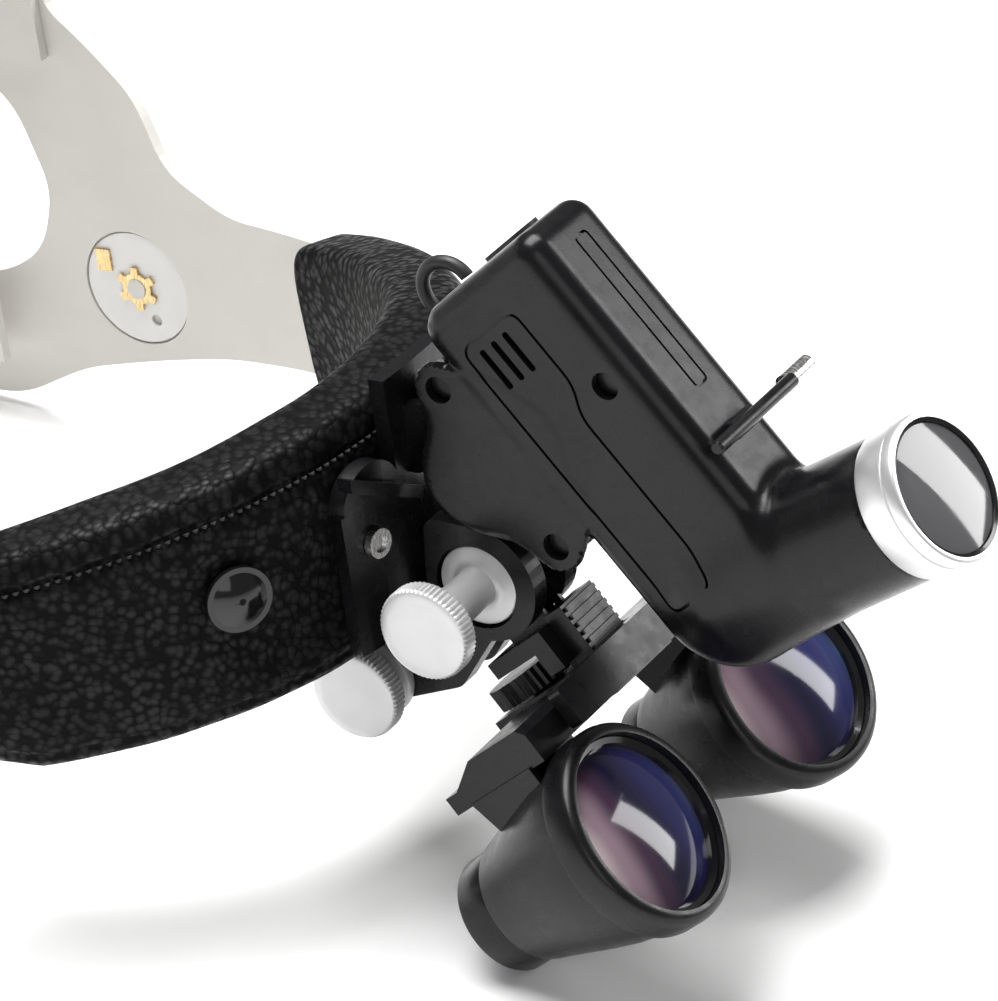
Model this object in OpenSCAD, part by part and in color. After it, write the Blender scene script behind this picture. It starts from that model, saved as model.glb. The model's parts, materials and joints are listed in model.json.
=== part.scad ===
// Dental loupes: a padded headband that carries a pair of magnifying barrels
// and a cordless lamp. Modelled lying on a table, front toward -Y, the way the
// headset rests: on the rims of both eyepieces and on the nape band.

/* [Headband] */
// Width of the moulded ring across the temples
ring_w = 156; // [150:1:164]
// Reach of the ring in front of its widest place
ring_front = 116; // [110:1:122]
// Reach of the ring behind its widest place
ring_rear = 101; // [96:1:106]
// Wall of the moulded shell
shell_t = 2.6; // [2.2:0.1:3]
// Height of the shell along the temples
shell_h = 28; // [24:1:32]
// Thickness of the brow pad
pad_t = 8; // [6:0.5:10]
// Angle at which the headset lies on the table
rest_tilt = 10; // [8:0.5:12]

/* [Loupes] */
// Distance between the two front lenses
lens_gap = 50; // [46:1:56]
// Length of a barrel from its front rim to its eyepiece rim
barrel_l = 37.5; // [35:0.5:40]
// Outer radius of the front bezel ring
bezel_r = 18.4; // [17.8:0.1:19]
// Outer radius of the eyepiece ring
eye_r = 10.6; // [10:0.1:11]
// Angle of each barrel toward the middle
converge = 4.4; // [2:0.2:6]
// Upward pitch of the barrels as they lie
loupe_pitch = 46.7; // [44:0.5:49]

/* [Lamp] */
// Width of the lamp box
box_w = 20; // [19:0.5:22]
// Depth of the lamp box from its front face to its back
box_d = 32; // [30:1:34]
// Length of the lamp box above the elbow
box_l = 67; // [62:1:72]
// Outer radius of the silver bezel
lamp_r = 12.9; // [12.5:0.1:13.5]
// Distance from the elbow to the front of the lens
tube_l = 44; // [42:1:48]
// Upward pitch of the lamp tube
tube_pitch = 40.3; // [38:0.5:43]
// Pitch of the long side of the box, downward and forward
box_pitch = 41; // [39:0.5:43]

/* [Thumbscrews] */
// Radius of the knurled head
knob_r = 8.5; // [8:0.1:9]
// Length of the upper screw's neck between head and flange
neck_l = 14; // [12:0.5:16]
// Length of the lower screw's neck
short_neck_l = 2.2; // [1.5:0.1:4]

/* [Hidden] */
$fn = 48;

// Running clearance between parts that turn or slide on each other
fit = 0.06;
// Gap between fixed parts that only sit next to each other
gap = 0.1;
// A length that surely cuts through everything
through = 400;

// ---- resting pose -------------------------------------------------------------
// The widest place of the ring lies this far behind the ring's own origin
ring_mid = 20;
nape_drop = 22;
ring_end = ring_mid + ring_rear;
ring_y = 158;
ring_z = ring_end * sin(rest_tilt) + nape_drop * cos(rest_tilt);
axis_rise = cos(converge) * sin(loupe_pitch);
lens_z = barrel_l * axis_rise + eye_r * sqrt(1 - axis_rise * axis_rise);

// Pivots as [y, z] on the middle plane
upper_pivot = [44.5, 54.6];
lower_pivot = [63.5, 30.5];
lamp_pivot = [45, 85.4];
elbow = [-3.6, 69.7];

// The footprint runs from the lamp's bezel to the back of the ratchet knob
knob_z = -6;
dial_r = 11;
dial_back = 14.3;
front_y = elbow[0] - tube_l * cos(tube_pitch) - lamp_r * sin(tube_pitch);
back_y = ring_y + (ring_end + dial_back) * cos(rest_tilt) + (knob_z + dial_r) * sin(rest_tilt);
middle_y = (front_y + back_y) / 2;

module in_place() { translate([0, -middle_y, 0]) children(); }
module headset() { in_place() translate([0, ring_y, ring_z]) rotate([-rest_tilt, 0, 0]) children(); }
module loupes() { in_place() translate([0, 0, lens_z]) rotate([-loupe_pitch, 0, 0]) children(); }
module lamp_tube() { in_place() translate([0, elbow[0], elbow[1]]) rotate([-tube_pitch, 0, 0]) children(); }
module lamp_box() { in_place() translate([0, elbow[0], elbow[1]]) rotate([box_pitch - 90, 0, 0]) children(); }
module at_pivot(p) { in_place() translate([0, p[0], p[1]]) children(); }

// A pivot seen in a frame that starts at [y, z] and is pitched up by an angle
function seen_from(p, origin, pitch) = [
    (p[0] - origin[0]) * cos(pitch) - (p[1] - origin[1]) * sin(pitch),
    (p[0] - origin[0]) * sin(pitch) + (p[1] - origin[1]) * cos(pitch)];

// ---- shared shapes ------------------------------------------------------------
module along_x() { rotate([0, 90, 0]) children(); }
module along_y() { rotate([-90, 0, 0]) children(); }
// Draws an outline of [y, z] points and gives it a width along X
module side_extrude(width) { rotate([90, 0, 90]) linear_extrude(width, center = true) children(); }

// A rectangle with round corners, as points
function round_rect(w, h, r, steps = 6) = [
    for (corner = [0:3]) for (i = [0:steps])
        let (turn = 90 * corner + 90 * i / steps,
             cx = (corner == 0 || corner == 3) ? w / 2 - r : r - w / 2,
             cy = corner < 2 ? h / 2 - r : r - h / 2)
        [cx + r * cos(turn), cy + r * sin(turn)]];

// The ring is an egg, fuller than an ellipse: angle 0 is the brow, 90 the left temple
fullness = 2 / 2.3;
function signed_pow(v, p) = sign(v) * pow(abs(v), p);
function egg(grow, a) = [
    (ring_w / 2 + grow) * signed_pow(sin(a), fullness),
    ring_mid - ((cos(a) > 0 ? ring_front : ring_rear) + grow) * signed_pow(cos(a), fullness)];
function egg_arc(grow, a0, a1, steps) = [for (i = [0:steps]) egg(grow, a0 + (a1 - a0) * i / steps)];
// Half width of the ring at a place y behind its widest one
function ring_x(grow, y) = let (c = pow((y - ring_mid) / (ring_rear + grow), 1 / fullness))
    (ring_w / 2 + grow) * pow(1 - c * c, fullness / 2);
function reversed(v) = [for (i = [len(v) - 1:-1:0]) v[i]];

module egg_wall(inner, outer, z0, z1) {
    translate([0, 0, z0]) linear_extrude(z1 - z0) difference() {
        polygon(egg_arc(outer, 0, 357, 119));
        polygon(egg_arc(inner, 0, 357, 119));
    }
}
module egg_sector(inner, outer, half_angle, z0, z1, steps = 56) {
    translate([0, 0, z0]) linear_extrude(z1 - z0)
        polygon(concat(egg_arc(outer, -half_angle, half_angle, steps),
                       reversed(egg_arc(inner, -half_angle, half_angle, steps))));
}

// ---- headband -----------------------------------------------------------------
arm_top = 56;
strap_y = [22, 46];
temple = [11.6, -6.7];
cap_r = 11.8;
slot_r = 1.9;
slot_z = [43, 53];

// Replaces every corner of an outline by a short arc of points
function rounded(p, reach, steps = 5) = [
    for (i = [0:len(p) - 1])
        let (here = p[i],
             back = p[(i + len(p) - 1) % len(p)] - here,
             ahead = p[(i + 1) % len(p)] - here,
             from = here + back / norm(back) * min(reach, norm(back) * 0.49),
             to = here + ahead / norm(ahead) * min(reach, norm(ahead) * 0.49))
        for (k = [0:steps]) let (t = k / steps)
            (1 - t) * (1 - t) * from + 2 * t * (1 - t) * here + t * t * to];

// Side view of the shell: brow band, an arm up to the crown, an arm down to the nape
module shell_outline() {
    top = shell_h / 2 - 2.5;
    polygon(rounded([
        [-110, top - shell_h], [-110, top], [-14, top], [0, 19], [5, 34], [16, 45],
        [strap_y[0], 50], [strap_y[0], arm_top], [strap_y[1], arm_top], [strap_y[1], 42],
        [33, 29], [28, 12], [32, 0], [39, -5.5], [52, -8], [66, -8], [66, -30.5], [43, -33],
        [27, -25.5], [8, -21.5], [-8, -18.5], [-30, top - shell_h]], 5));
}
module temple_axis(side) {
    x = egg(-shell_t, 90)[0];
    translate([side * x, temple[0], temple[1]]) rotate([0, side * 90, 0]) children();
}
module headband_shell() {
    color("whitesmoke") headset() difference() {
        intersection() {
            egg_wall(-shell_t, 0, -40, arm_top + 2);
            side_extrude(ring_w + 20) shell_outline();
        }
        for (side = [-1, 1]) temple_axis(side) {
            translate([0, 0, -2]) cylinder(h = 3, r = cap_r);
            translate([0, 0, -3]) cylinder(h = 9, r = 2.1);
        }
        // Slots in which the crown strap's pegs slide
        for (side = [-1, 1])
            translate([side * (ring_w / 2 - 4), (strap_y[0] + strap_y[1]) / 2, slot_z[0]]) {
                for (z = [0, slot_z[1] - slot_z[0]])
                    translate([0, 0, z]) along_x() cylinder(h = 16, r = slot_r, center = true);
                translate([-8, -slot_r, 0]) cube([16, 2 * slot_r, slot_z[1] - slot_z[0]]);
            }
    }
}

// Upper and lower edge of the padded cover, from its end back at the temple to the brow
pad_end = -40;
pad_front = -104;
module cover_outline(inset) {
    polygon([[pad_end - 3.5, -18.2 + inset], [pad_end, 13.2 - inset], [-52, 16.5 - inset],
             [-65, 19.5 - inset], [-90, 25 - inset], [pad_front, 27 - inset],
             [pad_front, -17 + inset], [-95, -19.4 + inset], [-78, -21 + inset],
             [-58, -22.5 + inset]]);
}
cover_out = 4;
pad_arc = 82;
skin_t = 1.9;
// Depth of the pad inside the shell: full at the brow, thin at both ends
function pad_depth(a) = 5.6 + (pad_t - 1) * (1 - pow(abs(a) / (pad_arc + 6), 3));
module pad_sector(outer, inset, half_angle) {
    steps = 56;
    translate([0, 0, -24]) linear_extrude(58)
        polygon(concat(egg_arc(outer, -half_angle, half_angle, steps),
            [for (i = [steps:-1:0]) let (a = half_angle * (2 * i / steps - 1)) egg(inset - pad_depth(a), a)]));
}
module leather_cover() {
    color([0.1, 0.1, 0.1]) headset() difference() {
        intersection() {
            pad_sector(cover_out, 0, pad_arc);
            side_extrude(ring_w + 20) cover_outline(0);
        }
        intersection() {
            pad_sector(gap, skin_t, pad_arc + 4);
            side_extrude(ring_w + 20) union() {
                cover_outline(2);
                translate([-60, -17]) square([40, shell_h + 1]);
            }
        }
    }
}
module brow_pad() {
    color([0.25, 0.25, 0.27]) headset() intersection() {
        pad_sector(-shell_t - gap, skin_t + gap, pad_arc - 8);
        side_extrude(ring_w + 20) cover_outline(2.2);
    }
}
// Stands a shape on the ring's outside at an angle from the brow, its Z axis pointing outward
module on_ring(a, grow, z) {
    here = egg(grow, a);
    step = egg(grow, a + 1) - egg(grow, a - 1);
    translate([here[0], here[1], z]) rotate([0, 0, atan2(step[1], step[0])]) rotate([90, 0, 0]) children();
}
snap_angle = 26;
snap_r = 5.8;
module snap_buttons() {
    color([0.05, 0.05, 0.05]) headset() for (a = [-snap_angle, snap_angle])
        on_ring(a, cover_out + gap, 3.5) {
            cylinder(h = 1, r = snap_r);
            intersection() {
                cylinder(h = 3, r = snap_r - 0.8);
                translate([0, 0, -8.2]) sphere(r = 10.4);
            }
        }
}
module side_caps() {
    color("whitesmoke") headset() for (side = [-1, 1]) temple_axis(side) {
        translate([0, 0, shell_t + gap]) cylinder(h = 2.2, r = 10);
        translate([0, 0, -0.7]) cylinder(h = shell_t + 2, r = 2);
    }
}
module star_washers() {
    color("gold") headset() for (side = [-1, 1]) temple_axis(side) difference() {
        translate([0, 0, -0.5]) union() {
            cylinder(h = 0.6, r = 3.2);
            for (turn = [0:60:300]) rotate(turn) translate([2.4, -0.8, 0]) cube([2, 1.6, 0.6]);
        }
        cylinder(h = 4, r = 2 + fit, center = true);
    }
}
module washer_tabs() {
    color("goldenrod") headset() for (side = [-1, 1]) temple_axis(side)
        rotate(side > 0 ? 0 : 180) translate([-7.5, 5.2, -0.4]) cube([4.4, 3.2, 0.5]);
}
module pivot_discs() {
    color("gainsboro") headset() for (side = [-1, 1]) temple_axis(side) difference() {
        translate([0, 0, 0.2]) cylinder(h = 0.7, r = cap_r - 0.4);
        cylinder(h = 4, r = 2.1, center = true);
        translate([side * 6.5, -3, 0]) cylinder(h = 4, r = 1.2, center = true);
    }
}

// ---- fixed plate on the brow ----------------------------------------------------
plate_out = cover_out + 3.1;
plate_half = 13;
cheek_in = 3.1;
cheek_out = 7;
bolt_r = 2.4;
bolt_hole_r = bolt_r + fit;
lug_r = 4.2;
hinge_pin_r = 1.5;
shoulder_z = 4;
foot_bend = [52.8, 36.5];
shoulder_slope = 28;

module base_plate() {
    color([0.12, 0.12, 0.13]) difference() {
        union() {
            headset() intersection() {
                egg_sector(cover_out + gap, plate_out, plate_half, -15, 30, 16);
                rotate([90, 0, 0]) linear_extrude(through) {
                    translate([-24, -15]) square([48, 26]);
                    translate([-9, -15]) square([18, 45]);
                    for (side = [-1, 1]) translate([side * 15.5, 11]) circle(r = 6.9);
                }
            }
            // Two shoulders that rise outward from the middle
            headset() for (side = [-1, 1]) intersection() {
                egg_sector(plate_out - 0.5, plate_out + 3, plate_half - 0.5, -10, 30, 16);
                translate([0, 0, shoulder_z]) rotate([0, -side * shoulder_slope, 0])
                    translate([side > 0 ? 8.5 : -38.5, -through / 2, 0]) cube([30, through, 2.2]);
            }
            // Foot that carries the swing arm, bent back under the brow pad
            at_pivot([0, 0]) side_extrude(2 * (cheek_in - fit)) {
                hull() {
                    translate([54.6, 47.5]) circle(r = 1.2);
                    translate(foot_bend) circle(r = 3.2);
                }
                hull() {
                    translate(foot_bend) circle(r = 3.2);
                    translate(lower_pivot) circle(r = 6);
                }
            }
            // Two cheeks that hold the lamp
            for (side = [-1, 1]) at_pivot([0, 0]) translate([side * 3.65, 0, 0]) side_extrude(2.7) hull() {
                translate(lamp_pivot) circle(r = lug_r);
                translate([59.6, 81]) circle(r = 3);
                translate([58.2, 74]) circle(r = 2.4);
            }
        }
        at_pivot(lower_pivot) along_x() cylinder(h = 60, r = bolt_hole_r, center = true);
        at_pivot(lamp_pivot) along_x() cylinder(h = 60, r = hinge_pin_r + fit, center = true);
    }
}
module base_rivets() {
    color("silver") headset() for (a = [-9, 9])
        on_ring(a, plate_out + gap, 4) difference() {
            cylinder(h = 1.4, r = 2.6);
            translate([0, 0, 0.8]) cylinder(h = 2, r = 1.6);
        }
}

// ---- crown strap ----------------------------------------------------------------
// A closed solid through rings of points, each ring with the same number of points
module skin(rings) {
    count = len(rings[0]);
    last = len(rings) - 1;
    polyhedron(
        points = [for (ring = rings) each ring],
        faces = concat(
            [[for (i = [count - 1:-1:0]) i]],
            [[for (i = [0:count - 1]) last * count + i]],
            [for (k = [0:last - 1]) for (i = [0:count - 1])
                let (a = k * count + i, b = k * count + (i + 1) % count) [a, b, b + count, a + count]]),
        convexity = 8);
}
strap_t = 2.2;
strap_foot = 40;
crown_rise = 62;
// The flat leg lies along a chord of the curved shell's inner face
chord_x = [for (y = [strap_y[0] + 1, strap_y[1] - 1]) ring_x(-shell_t, y)];
strap_x = (chord_x[0] + chord_x[1]) / 2 - gap - strap_t / 2;
strap_skew = (chord_x[0] - chord_x[1]) / 2;
// Distance from the leg's outer face to the shell, at the pegs
peg_gap = ring_x(-shell_t, (strap_y[0] + strap_y[1]) / 2) - strap_x - strap_t / 2;
// Middle of the strap's thickness along the arch, with its outward direction
function arch_point(t) = t < 0
    ? [-strap_x, strap_foot + (arm_top + 2 - strap_foot) * (1 + t), -1, 0, 1]
    : t > 1
        ? [strap_x, strap_foot + (arm_top + 2 - strap_foot) * (2 - t), 1, 0, 1]
        : [-strap_x * cos(180 * t), arm_top + 2 + crown_rise * sin(180 * t),
           -cos(180 * t), sin(180 * t), abs(cos(180 * t))];
function strap_ring(t) = let (p = arch_point(t), half = strap_t / 2)
    [for (corner = [[0, -1], [0, 1], [1, 1], [1, -1]])
        [p[0] + p[2] * half * corner[1] + sign(p[0]) * strap_skew * p[4] * (1 - 2 * corner[0]),
         strap_y[0] + 1 + (strap_y[1] - strap_y[0] - 2) * corner[0],
         p[1] + p[3] * half * corner[1]]];
module top_strap() {
    color("whitesmoke") headset()
        skin([for (t = concat([-1], [for (i = [0:32]) i / 32], [2])) strap_ring(t)]);
}
module strap_pegs() {
    color("whitesmoke") headset() for (side = [-1, 1])
        translate([side * (strap_x + strap_t / 2 + gap), (strap_y[0] + strap_y[1]) / 2, strap_foot + 6])
            rotate([0, side * 90, 0]) {
                cylinder(h = peg_gap + 4.2, r = 1.7);
                translate([0, 0, peg_gap + 3.2]) cylinder(h = 1.6, r = 3.2);
            }
}

// ---- nape band --------------------------------------------------------------------
nape_w = 68.7;
tang_y = 40;
nape_start = 66;
nape_reach = ring_end - nape_start;
nape_t = 2.2;
nape_z = [-nape_drop, -6];
function nape_point(grow, a) = [
    (nape_w + grow) * signed_pow(sin(a), fullness),
    nape_start - (nape_reach + grow) * signed_pow(cos(a), fullness)];
function nape_arc(grow) = concat([[nape_w + grow, tang_y]],
    [for (a = [90:4:270]) nape_point(grow, a)], [[-nape_w - grow, tang_y]]);
module nape_wall(inner, outer, z0, z1) {
    translate([0, 0, z0]) linear_extrude(z1 - z0)
        polygon(concat(nape_arc(outer), reversed(nape_arc(inner))));
}
module nape_band() {
    color("gainsboro") headset() difference() {
        union() {
            nape_wall(-nape_t, 0, nape_z[0], nape_z[1] - 2);
            intersection() {
                nape_wall(-nape_t, 0, nape_z[0], 7);
                translate([-32, nape_start, -60]) cube([64, 80, 120]);
            }
        }
        translate([0, ring_end, knob_z]) along_y() cylinder(h = 20, r = 3.2, center = true);
    }
}
module nape_cover() {
    color("gainsboro") headset() difference() {
        intersection() {
            nape_wall(gap, 7, knob_z - 12.5, knob_z + 12.5);
            translate([-26, nape_start, -60]) cube([52, 80, 120]);
        }
        intersection() {
            nape_wall(-1, 4.8, knob_z - 10.5, knob_z + 10.5);
            translate([-23.5, nape_start, -60]) cube([47, 80, 120]);
        }
        translate([0, ring_end, knob_z]) along_y() cylinder(h = 20, r = 3.2);
    }
}
module nape_pad() {
    color([0.15, 0.15, 0.15]) headset() intersection() {
        nape_wall(-nape_t - 6, -nape_t - gap, nape_z[0] + 2, 6);
        translate([-40, nape_start, -60]) cube([80, 80, 120]);
    }
}
// A disc whose rim is cut into fine ridges
module knurled(h, r, ridges, depth) {
    linear_extrude(h) polygon([for (i = [0:2 * ridges - 1])
        let (rr = i % 2 == 0 ? r : r - depth) [rr * cos(180 * i / ridges), rr * sin(180 * i / ridges)]]);
}
module ratchet_knob() {
    color([0.2, 0.2, 0.22]) headset() translate([0, ring_end + dial_back - 7, knob_z]) along_y() {
        knurled(7, dial_r, 24, 0.8);
        translate([0, 0, -6.6]) cylinder(h = 7, r = 3.2 - fit);
    }
}
module ratchet_pinion() {
    color("white") headset() translate([0, ring_end + 0.6, knob_z]) along_y() difference() {
        knurled(3.6, 7.5, 12, 1.4);
        translate([0, 0, -1]) cylinder(h = 6, r = 3.2 - fit + 0.02);
    }
}

// ---- swing arm and thumbscrews ------------------------------------------------------
knee = [49.8, 36.6];
// Outline of the eye, a little ahead of its hole
eye_at = [upper_pivot[0] - 0.7, upper_pivot[1] + 0.8];
eye_outer = 10.7;
roof_outer = 9.5;
flange_r = 7.4;
recess_r = 7.8;
recess_d = 2.6;
head_t = 4.2;
flange_t = 2;

module swing_arm() {
    color([0.1, 0.1, 0.11]) difference() {
        union() {
            for (side = [-1, 1])
                at_pivot([0, 0]) translate([side * (cheek_in + cheek_out) / 2, 0, 0])
                    side_extrude(cheek_out - cheek_in) {
                        hull() {
                            translate(eye_at) circle(r = eye_outer);
                            translate([52.4, 62.6]) circle(r = 2.6);
                        }
                        hull() {
                            translate(upper_pivot) circle(r = 7);
                            translate(knee) circle(r = 4);
                        }
                        hull() {
                            translate(knee) circle(r = 4);
                            translate(lower_pivot) circle(r = 5.5);
                        }
                    }
            // Roof that joins the two cheeks
            at_pivot(upper_pivot) along_x() intersection() {
                difference() {
                    cylinder(h = 2 * cheek_in + 1, r = roof_outer, center = true);
                    cylinder(h = 3 * cheek_out, r = 7, center = true);
                }
                rotate(145) translate([0, -8, -cheek_out]) cube([20, 16, 2 * cheek_out]);
            }
        }
        for (p = [upper_pivot, lower_pivot])
            at_pivot(p) along_x() cylinder(h = 60, r = bolt_hole_r, center = true);
        at_pivot(upper_pivot) translate([-cheek_out - 1, 0, 0]) along_x()
            cylinder(h = recess_d + 1, r = recess_r);
    }
}
// Head, neck, flange and thread along X, with the flange's inner face at the origin
module thumbscrew(neck, thread_l) {
    along_x() {
        translate([0, 0, -flange_t]) cylinder(h = flange_t, r = flange_r);
        translate([0, 0, -flange_t - neck]) cylinder(h = neck + 0.5, r1 = 3.9, r2 = 3.6);
        translate([0, 0, -flange_t - neck - head_t]) knurled(head_t, knob_r, 36, 0.35);
        cylinder(h = thread_l, r = bolt_r);
    }
}
nut_r = 4.6;
module nut() {
    along_x() difference() {
        cylinder(h = 3.4, r = nut_r, $fn = 6);
        translate([0, 0, -1]) cylinder(h = 6, r = bolt_hole_r);
    }
}
upper_flange_x = -cheek_out + recess_d - 0.05;
module upper_thumbscrew() {
    color("white") at_pivot(upper_pivot) translate([upper_flange_x, 0, 0])
        thumbscrew(neck_l, cheek_out + 3.6 - upper_flange_x);
}
module upper_nut() {
    color([0.2, 0.2, 0.2]) at_pivot(upper_pivot) translate([cheek_out + gap, 0, 0]) nut();
}
module lower_thumbscrew() {
    color("white") at_pivot(lower_pivot) translate([-cheek_out - fit, 0, 0]) thumbscrew(short_neck_l, 2 * cheek_out + 3.6);
}
module lower_nut() {
    color([0.2, 0.2, 0.2]) at_pivot(lower_pivot) translate([cheek_out + gap, 0, 0]) nut();
}

// ---- loupe carrier --------------------------------------------------------------------
knuckle = seen_from(upper_pivot, [0, lens_z], loupe_pitch);
block_top = 34.2;
block_bottom = 31.2;
tongue_y = 10.1;
wheel_at = [0, 23];
wheel_r = 9;
wheel_z = [25.9, 29.9];
rail_z = [18.6, 25.4];
rod_y = [8, 14];
rod_r = 1.2;
rod_half = 25.4;
rod_z = 22;
pinion_r = 3.2;
rack_z = [20.4, 23.6];

module tongue(grow) {
    polygon([[-2 - grow, tongue_y - 0.3], [2 + grow, tongue_y - 0.3],
             [3 + grow, tongue_y + 3.4 + grow], [-3 - grow, tongue_y + 3.4 + grow]]);
}
module tilt_block() {
    color([0.14, 0.14, 0.15]) loupes() difference() {
        union() {
            translate([0, knuckle[0], knuckle[1]]) along_x()
                cylinder(h = 2 * (cheek_in - fit), r = 6, center = true);
            translate([-cheek_in + fit, knuckle[0] - 5, block_top - 1])
                cube([2 * (cheek_in - fit), 10, knuckle[1] - block_top + 1]);
            translate([-8, tongue_y, block_bottom]) cube([16, 14, block_top - block_bottom]);
            translate([-8, tongue_y, 26.8]) cube([16, 3.8, block_top - 26.8]);
        }
        translate([0, 0, 20]) linear_extrude(30) tongue(fit);
        translate([0, knuckle[0], knuckle[1]]) along_x() cylinder(h = 20, r = bolt_hole_r, center = true);
    }
}
module bridge() {
    color([0.16, 0.16, 0.17]) loupes() difference() {
        union() {
            translate([0, 2, (19.2 + 26.5) / 2]) rotate([90, 0, 0])
                linear_extrude(2.8, center = true) polygon(round_rect(46, 7.3, 1));
            translate([-9, 3, rail_z[0]]) cube([18, 27, rail_z[1] - rail_z[0]]);
            translate([-5, 5.5, rail_z[1] - 1]) cube([10, tongue_y - gap - 5.5, 11]);
            translate([0, 0, rail_z[1] - 1]) linear_extrude(11) tongue(0);
            for (k = [0:5]) translate([-4.6, 4.8, rail_z[1] + 0.6 + 1.6 * k]) cube([9.2, 1.2, 0.8]);
        }
        translate([wheel_at[0], wheel_at[1], rack_z[0] - 0.4]) cylinder(h = 20, r = pinion_r + 0.5);
        translate([wheel_at[0], wheel_at[1], rail_z[0] + 0.6]) cylinder(h = 4, r = 1.5 + fit);
        for (side = [-1, 1])
            translate([-20, wheel_at[1] + side * (pinion_r + 1.2) - 1.2, rack_z[0] - 0.2])
                cube([40, 2.4, rack_z[1] - rack_z[0] + 0.4]);
        for (y = rod_y) translate([0, y, rod_z]) along_x() cylinder(h = 60, r = rod_r + 0.02, center = true);
    }
}
module guide_rods() {
    color("silver") loupes() for (y = rod_y) translate([0, y, rod_z]) along_x()
        cylinder(h = 2 * rod_half, r = rod_r, center = true);
}
module spacing_wheel() {
    color([0.08, 0.08, 0.08]) loupes() translate([wheel_at[0], wheel_at[1], 0]) {
        translate([0, 0, wheel_z[0]]) knurled(wheel_z[1] - wheel_z[0], wheel_r, 40, 0.45);
        translate([0, 0, rack_z[0]]) cylinder(h = wheel_z[0] - rack_z[0] + 0.5, r = pinion_r);
        translate([0, 0, rail_z[0] + 0.9]) cylinder(h = 2, r = 1.5);
    }
}

// ---- barrels ----------------------------------------------------------------------------
bezel_l = 6.8;
cone_end = 30.6;
cone_r1 = 17.2;
cone_r2 = 11.4;
module barrel(side) {
    loupes() translate([side * lens_gap / 2, 0, 0]) rotate(-side * converge) along_y() children();
}
module carriage(side) {
    color([0.13, 0.13, 0.14]) difference() {
        loupes() union() {
            translate([side * 22.5, 0, 0]) side_extrude(17)
                polygon([[5, rail_z[0]], [5, rail_z[1] - 1.5], [6.5, rail_z[1]], [19, rail_z[1]],
                         [25.5, 22], [28.5, 22], [28.5, rail_z[0]]]);
            translate([side * 25, 0, 0]) side_extrude(13) polygon([[8.5, 11], [8.5, 19], [24, 19], [22, 11]]);
            translate([side > 0 ? -5 : -16, wheel_at[1] - side * (pinion_r + 1.2) - 1, rack_z[0]])
                cube([21, 2, rack_z[1] - rack_z[0]]);
        }
        loupes() for (y = rod_y) translate([0, y, rod_z]) along_x()
            cylinder(h = 2 * rod_half + 8.6, r = rod_r + fit, center = true);
        barrel(side) translate([0, 0, bezel_l]) cylinder(h = cone_end - bezel_l, r1 = cone_r1 + gap, r2 = cone_r2 + gap);
        barrel(side) cylinder(h = bezel_l + 0.05, r = bezel_r + gap);
    }
}
module carriage_right() { carriage(-1); }
module carriage_left() { carriage(1); }

module barrel_tube(side) {
    color([0.1, 0.1, 0.1]) barrel(side) difference() {
        union() {
            translate([0, 0, bezel_l]) cylinder(h = cone_end - bezel_l, r1 = cone_r1, r2 = cone_r2);
            translate([0, 0, 3.5]) cylinder(h = bezel_l - 3, r = 16.6);
            translate([0, 0, cone_end - 0.5]) cylinder(h = 3.5, r = 9.4);
        }
        translate([0, 0, bezel_l]) cylinder(h = cone_end - bezel_l + 0.1, r1 = 15.2, r2 = 8.4);
        translate([0, 0, 3]) cylinder(h = bezel_l - 2.9, r = 15.2);
        translate([0, 0, cone_end - 1]) cylinder(h = 8, r = 8.2);
    }
}
module barrel_right() { barrel_tube(-1); }
module barrel_left() { barrel_tube(1); }

module bezel(side) {
    color([0.07, 0.07, 0.07]) barrel(side) difference() {
        union() {
            cylinder(h = 1, r1 = bezel_r - 0.8, r2 = bezel_r);
            translate([0, 0, 1]) cylinder(h = bezel_l - 1.1, r = bezel_r);
        }
        translate([0, 0, -1]) cylinder(h = 3.6, r = 16.1);
        translate([0, 0, 2.4]) cylinder(h = 6, r = 16.6 + gap);
    }
}
module bezel_right() { bezel(-1); }
module bezel_left() { bezel(1); }

// A lens with a flat back at z = 0 and a dome of the given radius toward -z
module domed_lens(r, edge, dome_r) {
    rise = function(x) sqrt(dome_r * dome_r - x * x) - sqrt(dome_r * dome_r - r * r);
    rotate_extrude() polygon(concat([[0, 0]], [[r, 0]],
        [for (i = [12:-1:0]) let (x = r * i / 12) [x, -edge - rise(x)]]));
}
module objective(side) {
    color([0.3, 0.3, 0.5]) barrel(side) translate([0, 0, 3.4]) domed_lens(15.95, 0.5, 52);
}
module objective_right() { objective(-1); }
module objective_left() { objective(1); }

module eyepiece(side) {
    color([0.07, 0.07, 0.07]) barrel(side) difference() {
        union() {
            translate([0, 0, cone_end + 0.1]) cylinder(h = barrel_l - cone_end - 0.7, r = eye_r);
            translate([0, 0, barrel_l - 0.61]) cylinder(h = 0.61, r1 = eye_r, r2 = eye_r - 0.01);
        }
        translate([0, 0, cone_end]) cylinder(h = 3.2, r = 9.4 + 0.02);
        translate([0, 0, cone_end]) cylinder(h = 20, r = 8.2);
        translate([0, 0, barrel_l - 2.2]) cylinder(h = 4, r = 8.9);
    }
}
module eyepiece_right() { eyepiece(-1); }
module eyepiece_left() { eyepiece(1); }

module eye_lens(side) {
    color([0.5, 0.6, 0.7]) barrel(side) translate([0, 0, barrel_l - 2.2]) cylinder(h = 1.4, r = 8.88);
}
module eye_lens_right() { eye_lens(-1); }
module eye_lens_left() { eye_lens(1); }

// ---- lamp ---------------------------------------------------------------------------------
box_back = 15;
box_front = box_back - box_d;
box_mid = (box_back + box_front) / 2;
wall = 1.8;
cover_from = 14;
pivot_in_box = seen_from(lamp_pivot, elbow, 90 - box_pitch);
screw_spots = [[18.4, 56], [-10.1, 39.6], [20.4, 23.8]];
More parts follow.
